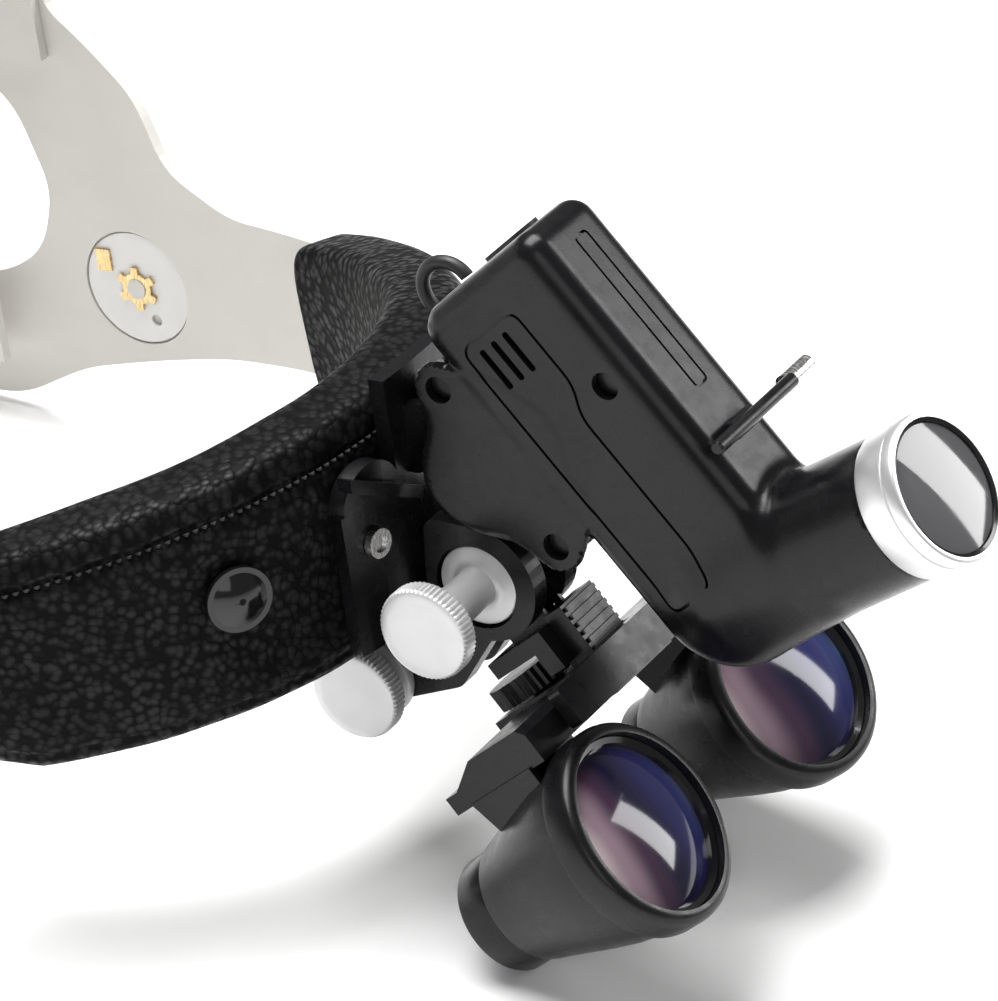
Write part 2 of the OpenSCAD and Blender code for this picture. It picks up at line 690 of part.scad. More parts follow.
// The side walls reach back around the hinge in a rounded lobe
lobe_at = [26, 41];
lobe_r = 7.5;
boss_r = 3.7;
panel_mid = [2.3, 31.5];
panel_size = [13.5, 56];
clip_at = [box_front - 2.2, 21];
pin_r = 0.9;
button_at = -6;
socket_at = 8;
lamp_y = -tube_l;
bezel_back = lamp_y + 8.2;

module box_section(grow, z0, z1) {
    translate([0, box_mid, z0]) linear_extrude(z1 - z0)
        polygon(round_rect(box_w + 2 * grow, box_d + 2 * grow, 4.2 + grow));
}
// Side view of the box, closed below by the round of the elbow
module box_side(grow) {
    polygon(concat([[box_front - 1, 90], [box_front - 1, -12.2 - grow], [0, -12.2 - grow]],
        [for (a = [-80:10:0]) [(box_back + grow) * cos(a), (12.2 + grow) * sin(a)]],
        [[box_back + grow + 1, 4], [box_back + grow + 1, 90]]));
}
module lamp_outside() {
    lamp_box() intersection() {
        box_section(0, -14, box_l);
        side_extrude(40) box_side(0);
    }
    lamp_box() for (spot = screw_spots) translate([0, spot[0], spot[1]]) along_x()
        cylinder(h = box_w - 1, r = boss_r, center = true);
    lamp_box() for (side = [-1, 1]) translate([side * (box_w - 0.5 - wall) / 2, 0, 0]) side_extrude(wall) {
        hull() {
            translate(screw_spots[0]) circle(r = boss_r - 0.2);
            translate(lobe_at) circle(r = lobe_r);
            translate([box_back - 2, lobe_at[1]]) circle(r = 1);
        }
        hull() {
            translate(screw_spots[2]) circle(r = boss_r - 0.2);
            translate(lobe_at) circle(r = lobe_r);
            translate([box_back - 2, lobe_at[1]]) circle(r = 1);
        }
    }
}
module lamp_hollow() {
    lamp_box() box_section(-wall, 2, box_l - wall);
    lamp_tube() translate([0, bezel_back - 0.1, 0]) along_y() cylinder(h = 26, r = 10.8);
}
module lamp_fixings(head_r) {
    lamp_box() for (spot = screw_spots) translate([-box_w / 2 - 1, spot[0], spot[1]]) along_x() {
        cylinder(h = 4.6, r = head_r);
        cylinder(h = box_w - 2, r = 1.1);
    }
}
module near_half(grow) {
    lamp_box() translate([-30 + grow, -60, cover_from - grow]) cube([30, 120, 90]);
}
module panel_shape(grow) {
    lamp_box() translate([-box_w / 2 - 1, panel_mid[0], panel_mid[1]]) rotate([90, 0, 90])
        linear_extrude(1 + wall + grow) polygon(round_rect(panel_size[0] + 2 * grow, panel_size[1] + 2 * grow, 3));
}
module top_openings() {
    lamp_box() {
        translate([0, button_at, box_l - 4]) linear_extrude(8) polygon(round_rect(6.8, 12.2, 3.3));
        translate([0, socket_at, box_l - 12]) cylinder(h = 20, r = 3.3);
    }
}
module lamp_body() {
    color([0.13, 0.13, 0.15]) difference() {
        union() {
            lamp_outside();
            lamp_tube() translate([0, bezel_back, 0]) along_y() cylinder(h = -bezel_back + 2, r = 12.4);
            lamp_tube() translate([0, 2, 0]) sphere(r = 12.4);
            lamp_box() side_extrude(4.2) hull() {
                translate(pivot_in_box) circle(r = lug_r);
                translate([box_back - 1.2, pivot_in_box[1] + 5]) circle(r = 1);
                translate([box_back - 1.2, pivot_in_box[1] - 5]) circle(r = 1);
            }
            lamp_box() for (side = [-1, 1]) translate([side * 4.4, 0, 0]) side_extrude(1.8) hull() {
                translate(clip_at) circle(r = 2);
                translate([box_front + 2, clip_at[1]]) circle(r = 2);
            }
        }
        lamp_hollow();
        near_half(gap);
        panel_shape(0.35);
        top_openings();
        lamp_box() translate([0, clip_at[0], clip_at[1]]) along_x() cylinder(h = 60, r = pin_r + 0.02, center = true);
        lamp_box() translate([0, pivot_in_box[0], pivot_in_box[1]]) along_x()
            cylinder(h = 20, r = hinge_pin_r + 0.02, center = true);
        lamp_box() for (spot = screw_spots) translate([0, spot[0], spot[1]]) along_x() cylinder(h = 8.6, r = 1.12);
    }
}
module lamp_cover() {
    color([0.14, 0.14, 0.16]) difference() {
        intersection() {
            lamp_outside();
            near_half(0);
        }
        lamp_hollow();
        panel_shape(0.35);
        lamp_fixings(2.45);
        lamp_fixings(1.2);
        top_openings();
        lamp_box() translate([0, pivot_in_box[0], pivot_in_box[1]]) cube([4.4, 12, 16], center = true);
        lamp_box() translate([-4.4, clip_at[0], clip_at[1]]) cube([2.2, 13, 5], center = true);
    }
}
module side_panel() {
    color([0.15, 0.15, 0.17]) difference() {
        intersection() {
            panel_shape(0);
            lamp_outside();
        }
        lamp_box() for (k = [0:2]) translate([-box_w / 2, 6.4 - 3.2 * k, 52.5]) rotate([90, 0, 90])
            linear_extrude(wall * 3, center = true) polygon(round_rect(1.2, 8.4, 0.59));
    }
}
module lamp_screws() {
    color([0.05, 0.05, 0.05]) lamp_box() for (spot = screw_spots)
        translate([-box_w / 2 + 1.8, spot[0], spot[1]]) along_x() {
            cylinder(h = 1.6, r = 2.3);
            cylinder(h = 15.5, r = 1.05);
        }
}
module lamp_bezel() {
    color("silver") lamp_tube() translate([0, lamp_y, 0]) along_y() difference() {
        union() {
            cylinder(h = 8.1, r = lamp_r);
            translate([0, 0, 7]) cylinder(h = 4, r = 10.7);
        }
        translate([0, 0, 0.9]) cylinder(h = 12, r = 9.6);
        translate([0, 0, -1]) cylinder(h = 4.2, r = 10.5);
        translate([0, 0, 2.2]) difference() {
            cylinder(h = 0.5, r = lamp_r + 1);
            cylinder(h = 0.5, r = lamp_r - 0.4);
        }
    }
}
module lamp_lens() {
    color([0.5, 0.5, 0.55]) lamp_tube() translate([0, lamp_y + 3.1, 0]) along_y() domed_lens(10.4, 1.2, 42);
}
module lamp_reflector() {
    color("silver") lamp_tube() translate([0, lamp_y + 3.4, 0]) along_y() difference() {
        cylinder(h = 15, r1 = 9.5, r2 = 4.5);
        translate([0, 0, -0.1]) cylinder(h = 15.2, r1 = 8.7, r2 = 3.2);
    }
}
module led_board() {
    color("yellow") lamp_tube() translate([0, lamp_y + 18.6, 0]) along_y() {
        translate([0, 0, 0.9]) cylinder(h = 1.4, r = 9);
        translate([-1.6, -1.6, 0]) cube([3.2, 3.2, 1]);
    }
}
module heat_sink() {
    color("lightgray") lamp_tube() translate([0, lamp_y + 21, 0]) along_y() {
        cylinder(h = 2, r = 10.6);
        for (k = [-3:3]) translate([2.6 * k - 0.5, -6.5, 1.9]) cube([1, 13, 7]);
    }
}
module battery_cell() {
    color("royalblue") lamp_box() translate([0, 5, 6]) {
        cylinder(h = 49, r = 7);
        cylinder(h = 50, r = 2.6);
    }
}
module circuit_board() {
    color("darkgreen") lamp_box() {
        translate([-6, -6.6, 24]) cube([12, 1.2, 32]);
        translate([-3, -8.4, 52]) cube([6, 2, 3.5]);
    }
}
module power_button() {
    color([0.06, 0.06, 0.06]) lamp_box() translate([0, button_at, 0]) {
        translate([0, 0, box_l - 1.2]) linear_extrude(1.9) polygon(round_rect(6.6, 12, 3.2));
        translate([0, 0, box_l - 5]) linear_extrude(4) polygon(round_rect(2.4, 2.4, 0.6));
    }
}
module charge_socket() {
    color([0.2, 0.2, 0.2]) lamp_box() translate([0, socket_at, box_l - 9.2]) difference() {
        cylinder(h = 9, r = 3.28);
        translate([0, 0, 1]) cylinder(h = 9, r = 1.75);
    }
}
module lamp_hinge_pin() {
    color("silver") at_pivot(lamp_pivot) along_x() {
        cylinder(h = 11, r = hinge_pin_r, center = true);
        translate([0, 0, -6.3]) cylinder(h = 1.2, r = 2.6);
    }
}
module filter_clip() {
    color([0.06, 0.06, 0.06]) lamp_box() translate([0, clip_at[0], clip_at[1]]) along_x() difference() {
        union() {
            cylinder(h = 6.6, r = 1.7, center = true);
            translate([-0.8, -3.5, -3]) cube([1.6, 3, 6]);
            translate([-1.1, -5.2, -12]) cube([2.2, 2.2, 24]);
        }
        cylinder(h = 30, r = pin_r + fit, center = true);
    }
}
module filter_pin() {
    color("silver") lamp_box() translate([0, clip_at[0], clip_at[1]]) along_x() {
        translate([0, 0, -6.2]) cylinder(h = 20.6, r = pin_r);
        difference() {
            translate([0, 0, 14]) cylinder(h = 8, r = 1.6);
            translate([-0.3, -3, 20.5]) cube([0.6, 6, 3]);
        }
    }
}
// Short lead that loops from the top end of the box over its back edge
lead_r = 1.2;
lead_bend = 5;
module lamp_lead() {
    color([0.05, 0.05, 0.05]) lamp_box() translate([4, box_back, box_l + 0.7]) rotate([90, 0, 90])
        rotate([0, 0, -88.8]) rotate_extrude(angle = 272.8) translate([lead_bend, 0]) circle(r = lead_r);
}

headband_shell();
brow_pad();
leather_cover();
snap_buttons();
side_caps();
star_washers();
washer_tabs();
pivot_discs();
base_plate();
base_rivets();
top_strap();
strap_pegs();
nape_band();
nape_cover();
nape_pad();
ratchet_knob();
ratchet_pinion();
swing_arm();
lower_thumbscrew();
lower_nut();
tilt_block();
upper_thumbscrew();
upper_nut();
bridge();
guide_rods();
spacing_wheel();
carriage_right();
carriage_left();
barrel_right();
barrel_left();
bezel_right();
bezel_left();
objective_right();
objective_left();
eyepiece_right();
eyepiece_left();
eye_lens_right();
eye_lens_left();
lamp_body();
lamp_cover();
side_panel();
lamp_screws();
lamp_bezel();
lamp_lens();
lamp_reflector();
heat_sink();
led_board();
battery_cell();
circuit_board();
power_button();
charge_socket();
lamp_hinge_pin();
filter_clip();
filter_pin();
lamp_lead();
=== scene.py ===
"""Dental loupes on a padded headband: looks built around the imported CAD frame."""
import json
import math

import bmesh
import bpy
import numpy as np
from mathutils import Matrix, Vector


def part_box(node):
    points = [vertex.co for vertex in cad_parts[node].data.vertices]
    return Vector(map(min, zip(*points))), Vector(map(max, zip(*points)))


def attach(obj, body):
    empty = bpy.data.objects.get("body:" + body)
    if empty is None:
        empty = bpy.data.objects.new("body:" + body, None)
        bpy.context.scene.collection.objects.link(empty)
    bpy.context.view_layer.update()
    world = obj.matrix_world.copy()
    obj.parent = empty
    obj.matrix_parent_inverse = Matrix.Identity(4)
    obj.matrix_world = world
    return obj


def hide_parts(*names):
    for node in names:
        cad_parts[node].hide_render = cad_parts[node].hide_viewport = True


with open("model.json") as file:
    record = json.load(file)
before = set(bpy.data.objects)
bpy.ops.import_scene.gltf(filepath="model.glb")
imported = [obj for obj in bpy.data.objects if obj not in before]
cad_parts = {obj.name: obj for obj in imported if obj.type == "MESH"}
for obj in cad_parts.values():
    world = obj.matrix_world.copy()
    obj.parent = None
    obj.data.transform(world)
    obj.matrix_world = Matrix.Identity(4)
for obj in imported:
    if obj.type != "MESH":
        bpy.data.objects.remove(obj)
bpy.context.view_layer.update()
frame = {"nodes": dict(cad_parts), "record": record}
MM = 0.001                      # frame lengths are metres, shapes below are worked out in mm


# ---- materials -------------------------------------------------------------------
class Nodes:
    """Builds a node material around one Principled shader."""

    def __init__(self, name):
        self.material = bpy.data.materials.new(name)
        self.material.use_nodes = True
        self.tree = self.material.node_tree
        self.shader = self.tree.nodes["Principled BSDF"]
        self.place = self.add("ShaderNodeTexCoord").outputs["Object"]
        self.height = None

    def add(self, kind, **values):
        node = self.tree.nodes.new(kind)
        for key, value in values.items():
            if key in node.inputs:
                node.inputs[key].default_value = value
            else:
                setattr(node, key, value)
        return node

    def link(self, source, target):
        self.tree.links.new(source, target)

    def set(self, **values):
        for key, value in values.items():
            self.shader.inputs[key.replace("_", " ")].default_value = value

    def noise(self, scale, detail=3.0, stretch=(1, 1, 1)):
        """Noise in the object's own coordinates, finer along the axes with a larger stretch."""
        mapping = self.add("ShaderNodeMapping")
        mapping.inputs["Scale"].default_value = stretch
        self.link(self.place, mapping.inputs["Vector"])
        node = self.add("ShaderNodeTexNoise", Scale=scale, Detail=detail)
        self.link(mapping.outputs["Vector"], node.inputs["Vector"])
        return node.outputs["Fac"]

    def ramp(self, factor, low, high, out_low=0.0, out_high=1.0):
        """Carries the range low..high to out_low..out_high, clamped at both ends."""
        node = self.add("ShaderNodeMapRange")
        limits = {"From Min": low, "From Max": high, "To Min": out_low, "To Max": out_high}
        for name, value in limits.items():
            node.inputs[name].default_value = value
        self.link(factor, node.inputs["Value"])
        return node.outputs["Result"]

    def mix(self, factor, first, second):
        """A colour between first (factor 0) and second (factor 1)."""
        node = self.add("ShaderNodeMix", data_type="RGBA")
        self.link(factor, node.inputs["Factor"])
        node.inputs[6].default_value = (*first, 1)
        node.inputs[7].default_value = (*second, 1)
        return node.outputs[2]

    def math(self, operation, first, second):
        node = self.add("ShaderNodeMath", operation=operation)
        for value, socket in ((first, node.inputs[0]), (second, node.inputs[1])):
            if isinstance(value, (int, float)):
                socket.default_value = value
            else:
                self.link(value, socket)
        return node.outputs[0]

    def bump(self, height, strength, distance):
        """Adds relief on top of any relief added before. The distance is in metres."""
        node = self.add("ShaderNodeBump", Strength=strength, Distance=distance)
        self.link(height, node.inputs["Height"])
        if self.height is not None:
            self.link(self.height, node.inputs["Normal"])
        self.height = node.outputs["Normal"]
        self.link(self.height, self.shader.inputs["Normal"])


def worn(name, dark, light, rough, grain=2500.0, grain_depth=0.00003, patch=60.0, **extra):
    """A moulded or machined surface: two close tones, uneven polish and a fine grain."""
    n = Nodes(name)
    n.set(**extra)
    patches = n.noise(patch, 4.0)
    n.link(n.mix(n.ramp(patches, 0.35, 0.65), dark, light), n.shader.inputs["Base Color"])
    polish = n.ramp(n.noise(patch * 6, 5.0), 0.3, 0.7, rough[0], rough[1])
    n.link(polish, n.shader.inputs["Roughness"])
    n.bump(n.noise(grain, 2.0), 0.35, grain_depth)
    return n.material


def brushed(name, dark, light, rough, stretch):
    """Turned or brushed metal: fine lines along one direction."""
    n = Nodes(name)
    n.set(Metallic=1.0)
    lines = n.noise(900.0, 3.0, stretch)
    n.link(n.mix(n.ramp(lines, 0.3, 0.7), dark, light), n.shader.inputs["Base Color"])
    n.link(n.ramp(lines, 0.3, 0.7, rough[0], rough[1]), n.shader.inputs["Roughness"])
    n.bump(lines, 0.2, 0.00003)
    return n.material


PEBBLES_PER_M = 620.0           # leather cells along a metre
PEBBLE_WARP = 0.0014            # how far noise pulls the cells out of shape, in metres
PEBBLE_HEIGHT = 0.00018


def leather(name):
    """Black pebbled leather: low domes with creases between them, the creases painted darker as shade,
    the tops a little shinier.
    """
    n = Nodes(name)
    warp = n.add("ShaderNodeTexNoise", Scale=220.0, Detail=2.0)
    n.link(n.place, warp.inputs["Vector"])
    shift = n.add("ShaderNodeVectorMath", operation="MULTIPLY_ADD")
    n.link(warp.outputs["Color"], shift.inputs[0])
    shift.inputs[1].default_value = (PEBBLE_WARP, PEBBLE_WARP, PEBBLE_WARP)
    n.link(n.place, shift.inputs[2])
    cells = n.add("ShaderNodeTexVoronoi", feature="SMOOTH_F1", Scale=PEBBLES_PER_M, Smoothness=0.12)
    n.link(shift.outputs[0], cells.inputs["Vector"])
    reach = n.ramp(cells.outputs["Distance"], 0.0, 0.68)
    height = n.math("SUBTRACT", 1.0, n.math("POWER", reach, 2.0))
    # Painted shade: the base colour is darker in the creases between the pebbles than on their tops.
    crease_shaded_tone = n.mix(height, (0.0012, 0.0012, 0.0012), (0.007, 0.007, 0.008))
    n.link(crease_shaded_tone, n.shader.inputs["Base Color"])
    shine = n.math("MULTIPLY", height, n.ramp(n.noise(160.0, 2.0), 0.38, 0.62, 0.7, 1.0))
    n.link(n.ramp(shine, 0.2, 0.9, 0.55, 0.38), n.shader.inputs["Roughness"])
    n.link(n.ramp(shine, 0.3, 0.95, 0.08, 0.2), n.shader.inputs["Specular IOR Level"])
    n.bump(n.noise(2600.0, 2.0), 0.25, 0.00003)
    n.bump(height, 1.0, PEBBLE_HEIGHT)
    n.bump(n.noise(55.0, 3.0), 0.3, 0.0006)
    return n.material


def smoked_glass(name, deep, rim, clear):
    """A dark lens that lets some of the lamp's inside show, darker at grazing angles."""
    n = Nodes(name)
    n.set(IOR=1.5, Transmission_Weight=clear, Coat_Weight=0.1, Coat_Roughness=0.04,
          Specular_IOR_Level=0.4)
    facing = n.add("ShaderNodeLayerWeight", Blend=0.4).outputs["Facing"]
    n.link(n.mix(n.ramp(facing, 0.1, 0.8), deep, rim), n.shader.inputs["Base Color"])
    n.link(n.ramp(n.noise(90.0, 4.0), 0.35, 0.75, 0.03, 0.09), n.shader.inputs["Roughness"])
    return n.material


# Painted reflection in the base colour of each coated front lens, a pale highlight at the wearer's
# right (0) darkening to violet and blue at the wearer's left (1).
LENS_REFLECTION_TONES = [(0.0, (0.80, 0.76, 0.76)), (0.12, (0.50, 0.43, 0.43)), (0.26, (0.20, 0.14, 0.17)),
              (0.40, (0.040, 0.022, 0.042)), (0.53, (0.010, 0.009, 0.026)),
              (0.74, (0.018, 0.018, 0.08)), (0.90, (0.035, 0.042, 0.12)), (1.0, (0.04, 0.13, 0.26))]
TOE_IN = 4.4                    # degrees that each barrel turns towards the middle
LENS_LEAN = math.sin(math.radians(TOE_IN))


def loupe_glass(name, lean):
    """A thick coated front lens. Its base colour is a painted reflection of the coating, from a pale
    pearl highlight to violet across the dome.
    """
    n = Nodes(name)
    n.set(IOR=1.5, Coat_Weight=0.2, Coat_Roughness=0.04, Specular_IOR_Level=0.3)
    normal = n.add("ShaderNodeTexCoord").outputs["Normal"]
    parts = n.add("ShaderNodeSeparateXYZ")
    n.link(normal, parts.inputs["Vector"])
    waver = n.ramp(n.noise(45.0, 2.0), 0.3, 0.7, -0.025, 0.025)
    slant = n.math("MULTIPLY", parts.outputs["Z"], -0.12)
    # Painted reflection: the lens colour follows which way the surface faces in the world, pale where
    # it faces the wearer's right.
    across = n.math("ADD", n.math("ADD", parts.outputs["X"], slant), n.math("ADD", waver, lean))
    blend = n.add("ShaderNodeValToRGB")
    ramp = blend.color_ramp
    ramp.interpolation = "EASE"
    while len(ramp.elements) < len(LENS_REFLECTION_TONES):
        ramp.elements.new(0.5)
    for element, (place, colour) in zip(ramp.elements, LENS_REFLECTION_TONES):
        element.position = place
        element.color = (*colour, 1)
    n.link(n.ramp(across, -0.56, 0.32), blend.inputs["Fac"])
    n.link(blend.outputs["Color"], n.shader.inputs["Base Color"])
    n.link(n.ramp(n.noise(90.0, 4.0), 0.35, 0.75, 0.06, 0.12), n.shader.inputs["Roughness"])
    return n.material


MATERIALS = {
    "white_shell": worn("white_shell", (0.62, 0.60, 0.565), (0.67, 0.65, 0.615), (0.38, 0.5),
                        patch=35.0),
    "foam": worn("foam", (0.03, 0.03, 0.033), (0.05, 0.05, 0.055), (0.85, 0.95), 900.0, 0.0004),
    "black_leather": leather("black_leather"),
    "black_gloss": worn("black_gloss", (0.004, 0.004, 0.004), (0.009, 0.009, 0.01), (0.08, 0.16),
                        Coat_Weight=0.3, Specular_IOR_Level=0.35),
    "black_plastic": worn("black_plastic", (0.003, 0.003, 0.0035), (0.006, 0.006, 0.007),
                          (0.22, 0.30), Specular_IOR_Level=0.26),
    "brass": brushed("brass", (0.50, 0.33, 0.14), (0.86, 0.68, 0.38), (0.2, 0.35), (1, 6, 1)),
    "black_metal": worn("black_metal", (0.003, 0.003, 0.0035), (0.007, 0.007, 0.008),
                        (0.24, 0.36), Specular_IOR_Level=0.28),
    "steel": brushed("steel", (0.42, 0.41, 0.40), (0.78, 0.77, 0.76), (0.18, 0.34), (6, 1, 1)),
    "white_metal": worn("white_metal", (0.64, 0.64, 0.645), (0.68, 0.68, 0.685), (0.34, 0.44),
                        3200.0, 0.00005, 120.0, Metallic=0.45),
    "white_plastic": worn("white_plastic", (0.72, 0.71, 0.69), (0.78, 0.77, 0.75), (0.35, 0.5)),
    "silver": worn("silver", (0.78, 0.78, 0.79), (0.82, 0.82, 0.83), (0.34, 0.38),
                   5000.0, 0.000004, 90.0, Metallic=0.85),
    "lens": loupe_glass("lens", 0.0),
    "lens_right": loupe_glass("lens_right", -LENS_LEAN),
    "lens_left": loupe_glass("lens_left", LENS_LEAN),
    "lamp_glass": smoked_glass("lamp_glass", (0.16, 0.16, 0.17), (0.08, 0.08, 0.085), 0.4),
    "led": worn("led", (0.8, 0.62, 0.12), (0.9, 0.75, 0.2), (0.4, 0.5)),
    "cell_wrap": worn("cell_wrap", (0.02, 0.06, 0.3), (0.03, 0.09, 0.4), (0.2, 0.3)),
    "board": worn("board", (0.01, 0.10, 0.03), (0.02, 0.16, 0.05), (0.35, 0.5)),
    "thread": worn("thread", (0.012, 0.012, 0.013), (0.03, 0.03, 0.032), (0.6, 0.8),
                   3000.0, 0.0001),
    "black_rubber": worn("black_rubber", (0.008, 0.008, 0.008), (0.014, 0.014, 0.014), (0.4, 0.55)),
}
slot_of = {part["node"]: part["material_slot"] for part in frame["record"]["subparts"]}


def dress(obj, material):
    """Gives the object one material and no other."""
    obj.data.materials.clear()
    obj.data.materials.append(material)


def soften(obj, width, angle=32.0):
    """Rounds the hard edges of a CAD node and smooths its curved faces."""
    for polygon in obj.data.polygons:
        polygon.use_smooth = True
    bevel = obj.modifiers.new("edges", "BEVEL")
    bevel.width = width
    bevel.segments = 2
    bevel.limit_method = "ANGLE"
    bevel.angle_limit = math.radians(angle)
    bevel.harden_normals = True
    bevel.use_clamp_overlap = True


EDGE = {"power_button": 0.5, "headband_shell": 0.6, "lamp_body": 0.25, "lamp_cover": 0.25,
        "swing_arm": 0.6, "base_plate": 0.4, "bridge": 0.35, "top_strap": 0.5, "side_caps": 0.8}
SMALL_EDGE = 0.15               # rounding of every other node's edges, in mm
for name, node in frame["nodes"].items():
    dress(node, MATERIALS[slot_of[name]])
    soften(node, EDGE.get(name, SMALL_EDGE) * MM)


# ---- shared mesh tools --------------------------------------------------------------
def mesh_object(name, verts, faces, material, smooth=True):
    mesh = bpy.data.meshes.new(name)
    mesh.from_pydata([tuple(v) for v in verts], [], faces)
    mesh.validate()
    obj = bpy.data.objects.new(name, mesh)
    bpy.context.collection.objects.link(obj)
    dress(obj, material)
    for polygon in mesh.polygons:
        polygon.use_smooth = smooth
    return obj


def loft(rings, closed=True, capped=True):
    """Vertices and faces of a tube through rings that all have the same number of points."""
    count = len(rings[0])
    verts = [v for ring in rings for v in ring]
    faces = []
    for k in range(len(rings) - 1):
        for i in range(count if closed else count - 1):
            a, b = k * count + i, k * count + (i + 1) % count
            faces.append((a, b, b + count, a + count))
    if capped:
        faces.append(tuple(range(count - 1, -1, -1)))
        faces.append(tuple((len(rings) - 1) * count + i for i in range(count)))
    return verts, faces


def middle(node):
    """Centre of a CAD node's box."""
    low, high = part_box(node)
    return (Vector(low) + Vector(high)) / 2


# ---- the headband's own frame ---------------------------------------------------------
REST_TILT = math.radians(10)    # at rest the loupes hold the brow higher than the nape
RING_HALF_W, RING_FRONT, RING_MID = 78.0, 116.0, 20.0
FULLNESS = 2 / 2.3              # power that makes the ring a little squarer than an ellipse
TEMPLE = Vector((0, 11.6, -6.7))                # centre of the temple caps in the headband's frame
TURN = Matrix.Rotation(-REST_TILT, 3, "X")
HEAD_ORIGIN = middle("side_caps") - TURN @ (TEMPLE * MM)


def from_headset(point):
    """Carries a point in mm from the headband's frame to the scene."""
    return HEAD_ORIGIN + TURN @ (Vector(point) * MM)


def signed_power(value, power):
    """The power of a number's size, with the number's sign."""
    return math.copysign(abs(value) ** power, value)


def ring_point(grow, angle):
    """A point of the headband's ring, a squarish oval, in mm. Angle 0 is the brow."""
    return ((RING_HALF_W + grow) * signed_power(math.sin(angle), FULLNESS),
            RING_MID - (RING_FRONT + grow) * signed_power(math.cos(angle), FULLNESS))


def between(x, table):
    """Straight-line interpolation in a short table of (x, value) steps."""
    for (x0, v0), (x1, v1) in zip(table, table[1:]):
        if x <= x1:
            t = min(max((x - x0) / (x1 - x0), 0.0), 1.0)
            return v0 + (v1 - v0) * t
    return table[-1][1]


# ---- leather cover ----------------------------------------------------------------------
# Height of the cover's edges, in mm, at steps of y in the headband's frame.
COVER_TOP = [(-100, 26.3), (-90, 24.6), (-65, 19.2), (-52, 16.2), (-40, 13.2)]
COVER_BOTTOM = [(-100, -18.4), (-95, -19.2), (-78, -20.8), (-58, -22.2), (-43.5, -18.2)]
COVER_OUT = 3.9                 # how far the leather stands outside the ring
COVER_END_Y, COVER_END_SLANT = -40, 3.5         # place of the end's top corner, lean of the end
COVER_END_TOP, COVER_END_H = 13.2, 31.4
PAD_THIN, PAD_EXTRA, PAD_REACH = 5.6, 7, 88     # mm at the ends, mm more at the brow, degrees
SOFT_END = 0.022                # share of the sleeve's half length over which its ends close
SQUARE_OUT, SQUARE_UP = 0.36, 0.45              # 1 is a round section, smaller is boxier
SEAM_DROP = 6.0                 # the roll seam lies this far under the top edge
SNAP_ANGLE, SNAP_Z = math.radians(26), 3.5


def cover_end(z):
    """Angle at which the slanted end of the cover lies, for a height z."""
    y = COVER_END_Y - COVER_END_SLANT * (COVER_END_TOP - z) / COVER_END_H
    return math.acos(((RING_MID - y) / RING_FRONT) ** (1 / FULLNESS))


def pad_depth(angle):
    """How far the pad reaches inside the shell: full at the brow, thin at both ends."""
    return PAD_THIN + PAD_EXTRA * (1 - (abs(math.degrees(angle)) / PAD_REACH) ** 3)


def build_cover():
    """The padded sleeve: crowned outside, rolled top edge, soft ends, folds near the snaps."""
    rings, around, along = [], 112, 300
    for k in range(along + 1):
        s = -1 + 2 * k / along
        end_gap = 1 - abs(s)
        close = 1.0
        if end_gap < SOFT_END:
            close = math.sqrt(max(1 - (1 - min(end_gap / SOFT_END, 1)) ** 2, 0.0))
        y_here = ring_point(0, s * cover_end(0))[1]
        top, bottom = between(y_here, COVER_TOP), between(y_here, COVER_BOTTOM)
        ring = []
        for i in range(around):
            turn = 2 * math.pi * i / around
            out = signed_power(math.cos(turn), SQUARE_OUT)
            up = signed_power(math.sin(turn), SQUARE_UP)
            z = (top + bottom) / 2 + up * (top - bottom) / 2 * (0.55 + 0.45 * close)
            angle = s * cover_end(z)
            depth = pad_depth(angle)
            grow = (COVER_OUT - depth) / 2 + out * (COVER_OUT + depth) / 2 * (0.25 + 0.75 * close)
            grow += cover_relief(angle, z, top, bottom, out) * close
            x, y = ring_point(grow, angle)
            ring.append(from_headset((x, y, z)))
        rings.append(ring)
    verts, faces = loft(rings)
    cover = mesh_object("leather_sleeve", verts, faces, MATERIALS["black_leather"])
    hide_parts("leather_cover")
    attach(cover, "headband")


def cover_relief(angle, z, top, bottom, out):
    """Outward offset of the leather, in mm: seams, crown, dimples at the snaps, soft folds."""
    if out < 0:
        return -0.5 * abs(math.sin(7 * angle)) ** 3     # sewn channels on the forehead side
    seam = -1.1 * math.exp(-((z - (top - SEAM_DROP)) / 0.8) ** 2)
    hem = -0.5 * math.exp(-((z - (bottom + 3.5)) / 0.7) ** 2)
    crown = -0.9 * ((z - (top + bottom) / 2) / ((top - bottom) / 2)) ** 4
    dimple = 0.0
    for side in (-1, 1):
        reach = math.hypot((angle - side * SNAP_ANGLE) * 95, z - SNAP_Z)
        dimple -= 0.9 * math.exp(-(reach / 8.0) ** 2)
        dimple += 0.18 * math.sin(reach * 0.9 + 5 * angle) * math.exp(-(reach / 14.0) ** 2)
    folds = 0.16 * math.sin(23 * angle + 0.25 * z) * math.sin(9 * angle - 0.1 * z + 1.3)
    return seam + hem + crown + dimple + folds


def build_stitches():
    """Thread in the seam under the cover's rolled top edge, one loft of five rings a stitch."""
    verts, faces = [], []
    limit = cover_end(8) - 0.08
    count = 104
    for k in range(count):
        a0 = -limit + 2 * limit * (k + 0.18) / count
        a1 = -limit + 2 * limit * (k + 0.82) / count
        rings = []
        for j in range(5):
            a = a0 + (a1 - a0) * j / 4
            bulge = math.sin(math.pi * j / 4)
            z = between(ring_point(0, a)[1], COVER_TOP) - SEAM_DROP
            r = 0.16 + 0.14 * bulge
            ring = []
            for i in range(6):
                t = 2 * math.pi * i / 6
                x, y = ring_point(COVER_OUT - 1.15 + 0.45 * bulge + r * math.cos(t), a)
                ring.append(from_headset((x, y, z + r * math.sin(t))))
            rings.append(ring)
        v, f = loft(rings)
        base = len(verts)
        verts += v
        faces += [tuple(base + i for i in face) for face in f]
    thread = mesh_object("seam_thread", verts, faces, MATERIALS["thread"])
    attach(thread, "headband")


build_cover()
build_stitches()


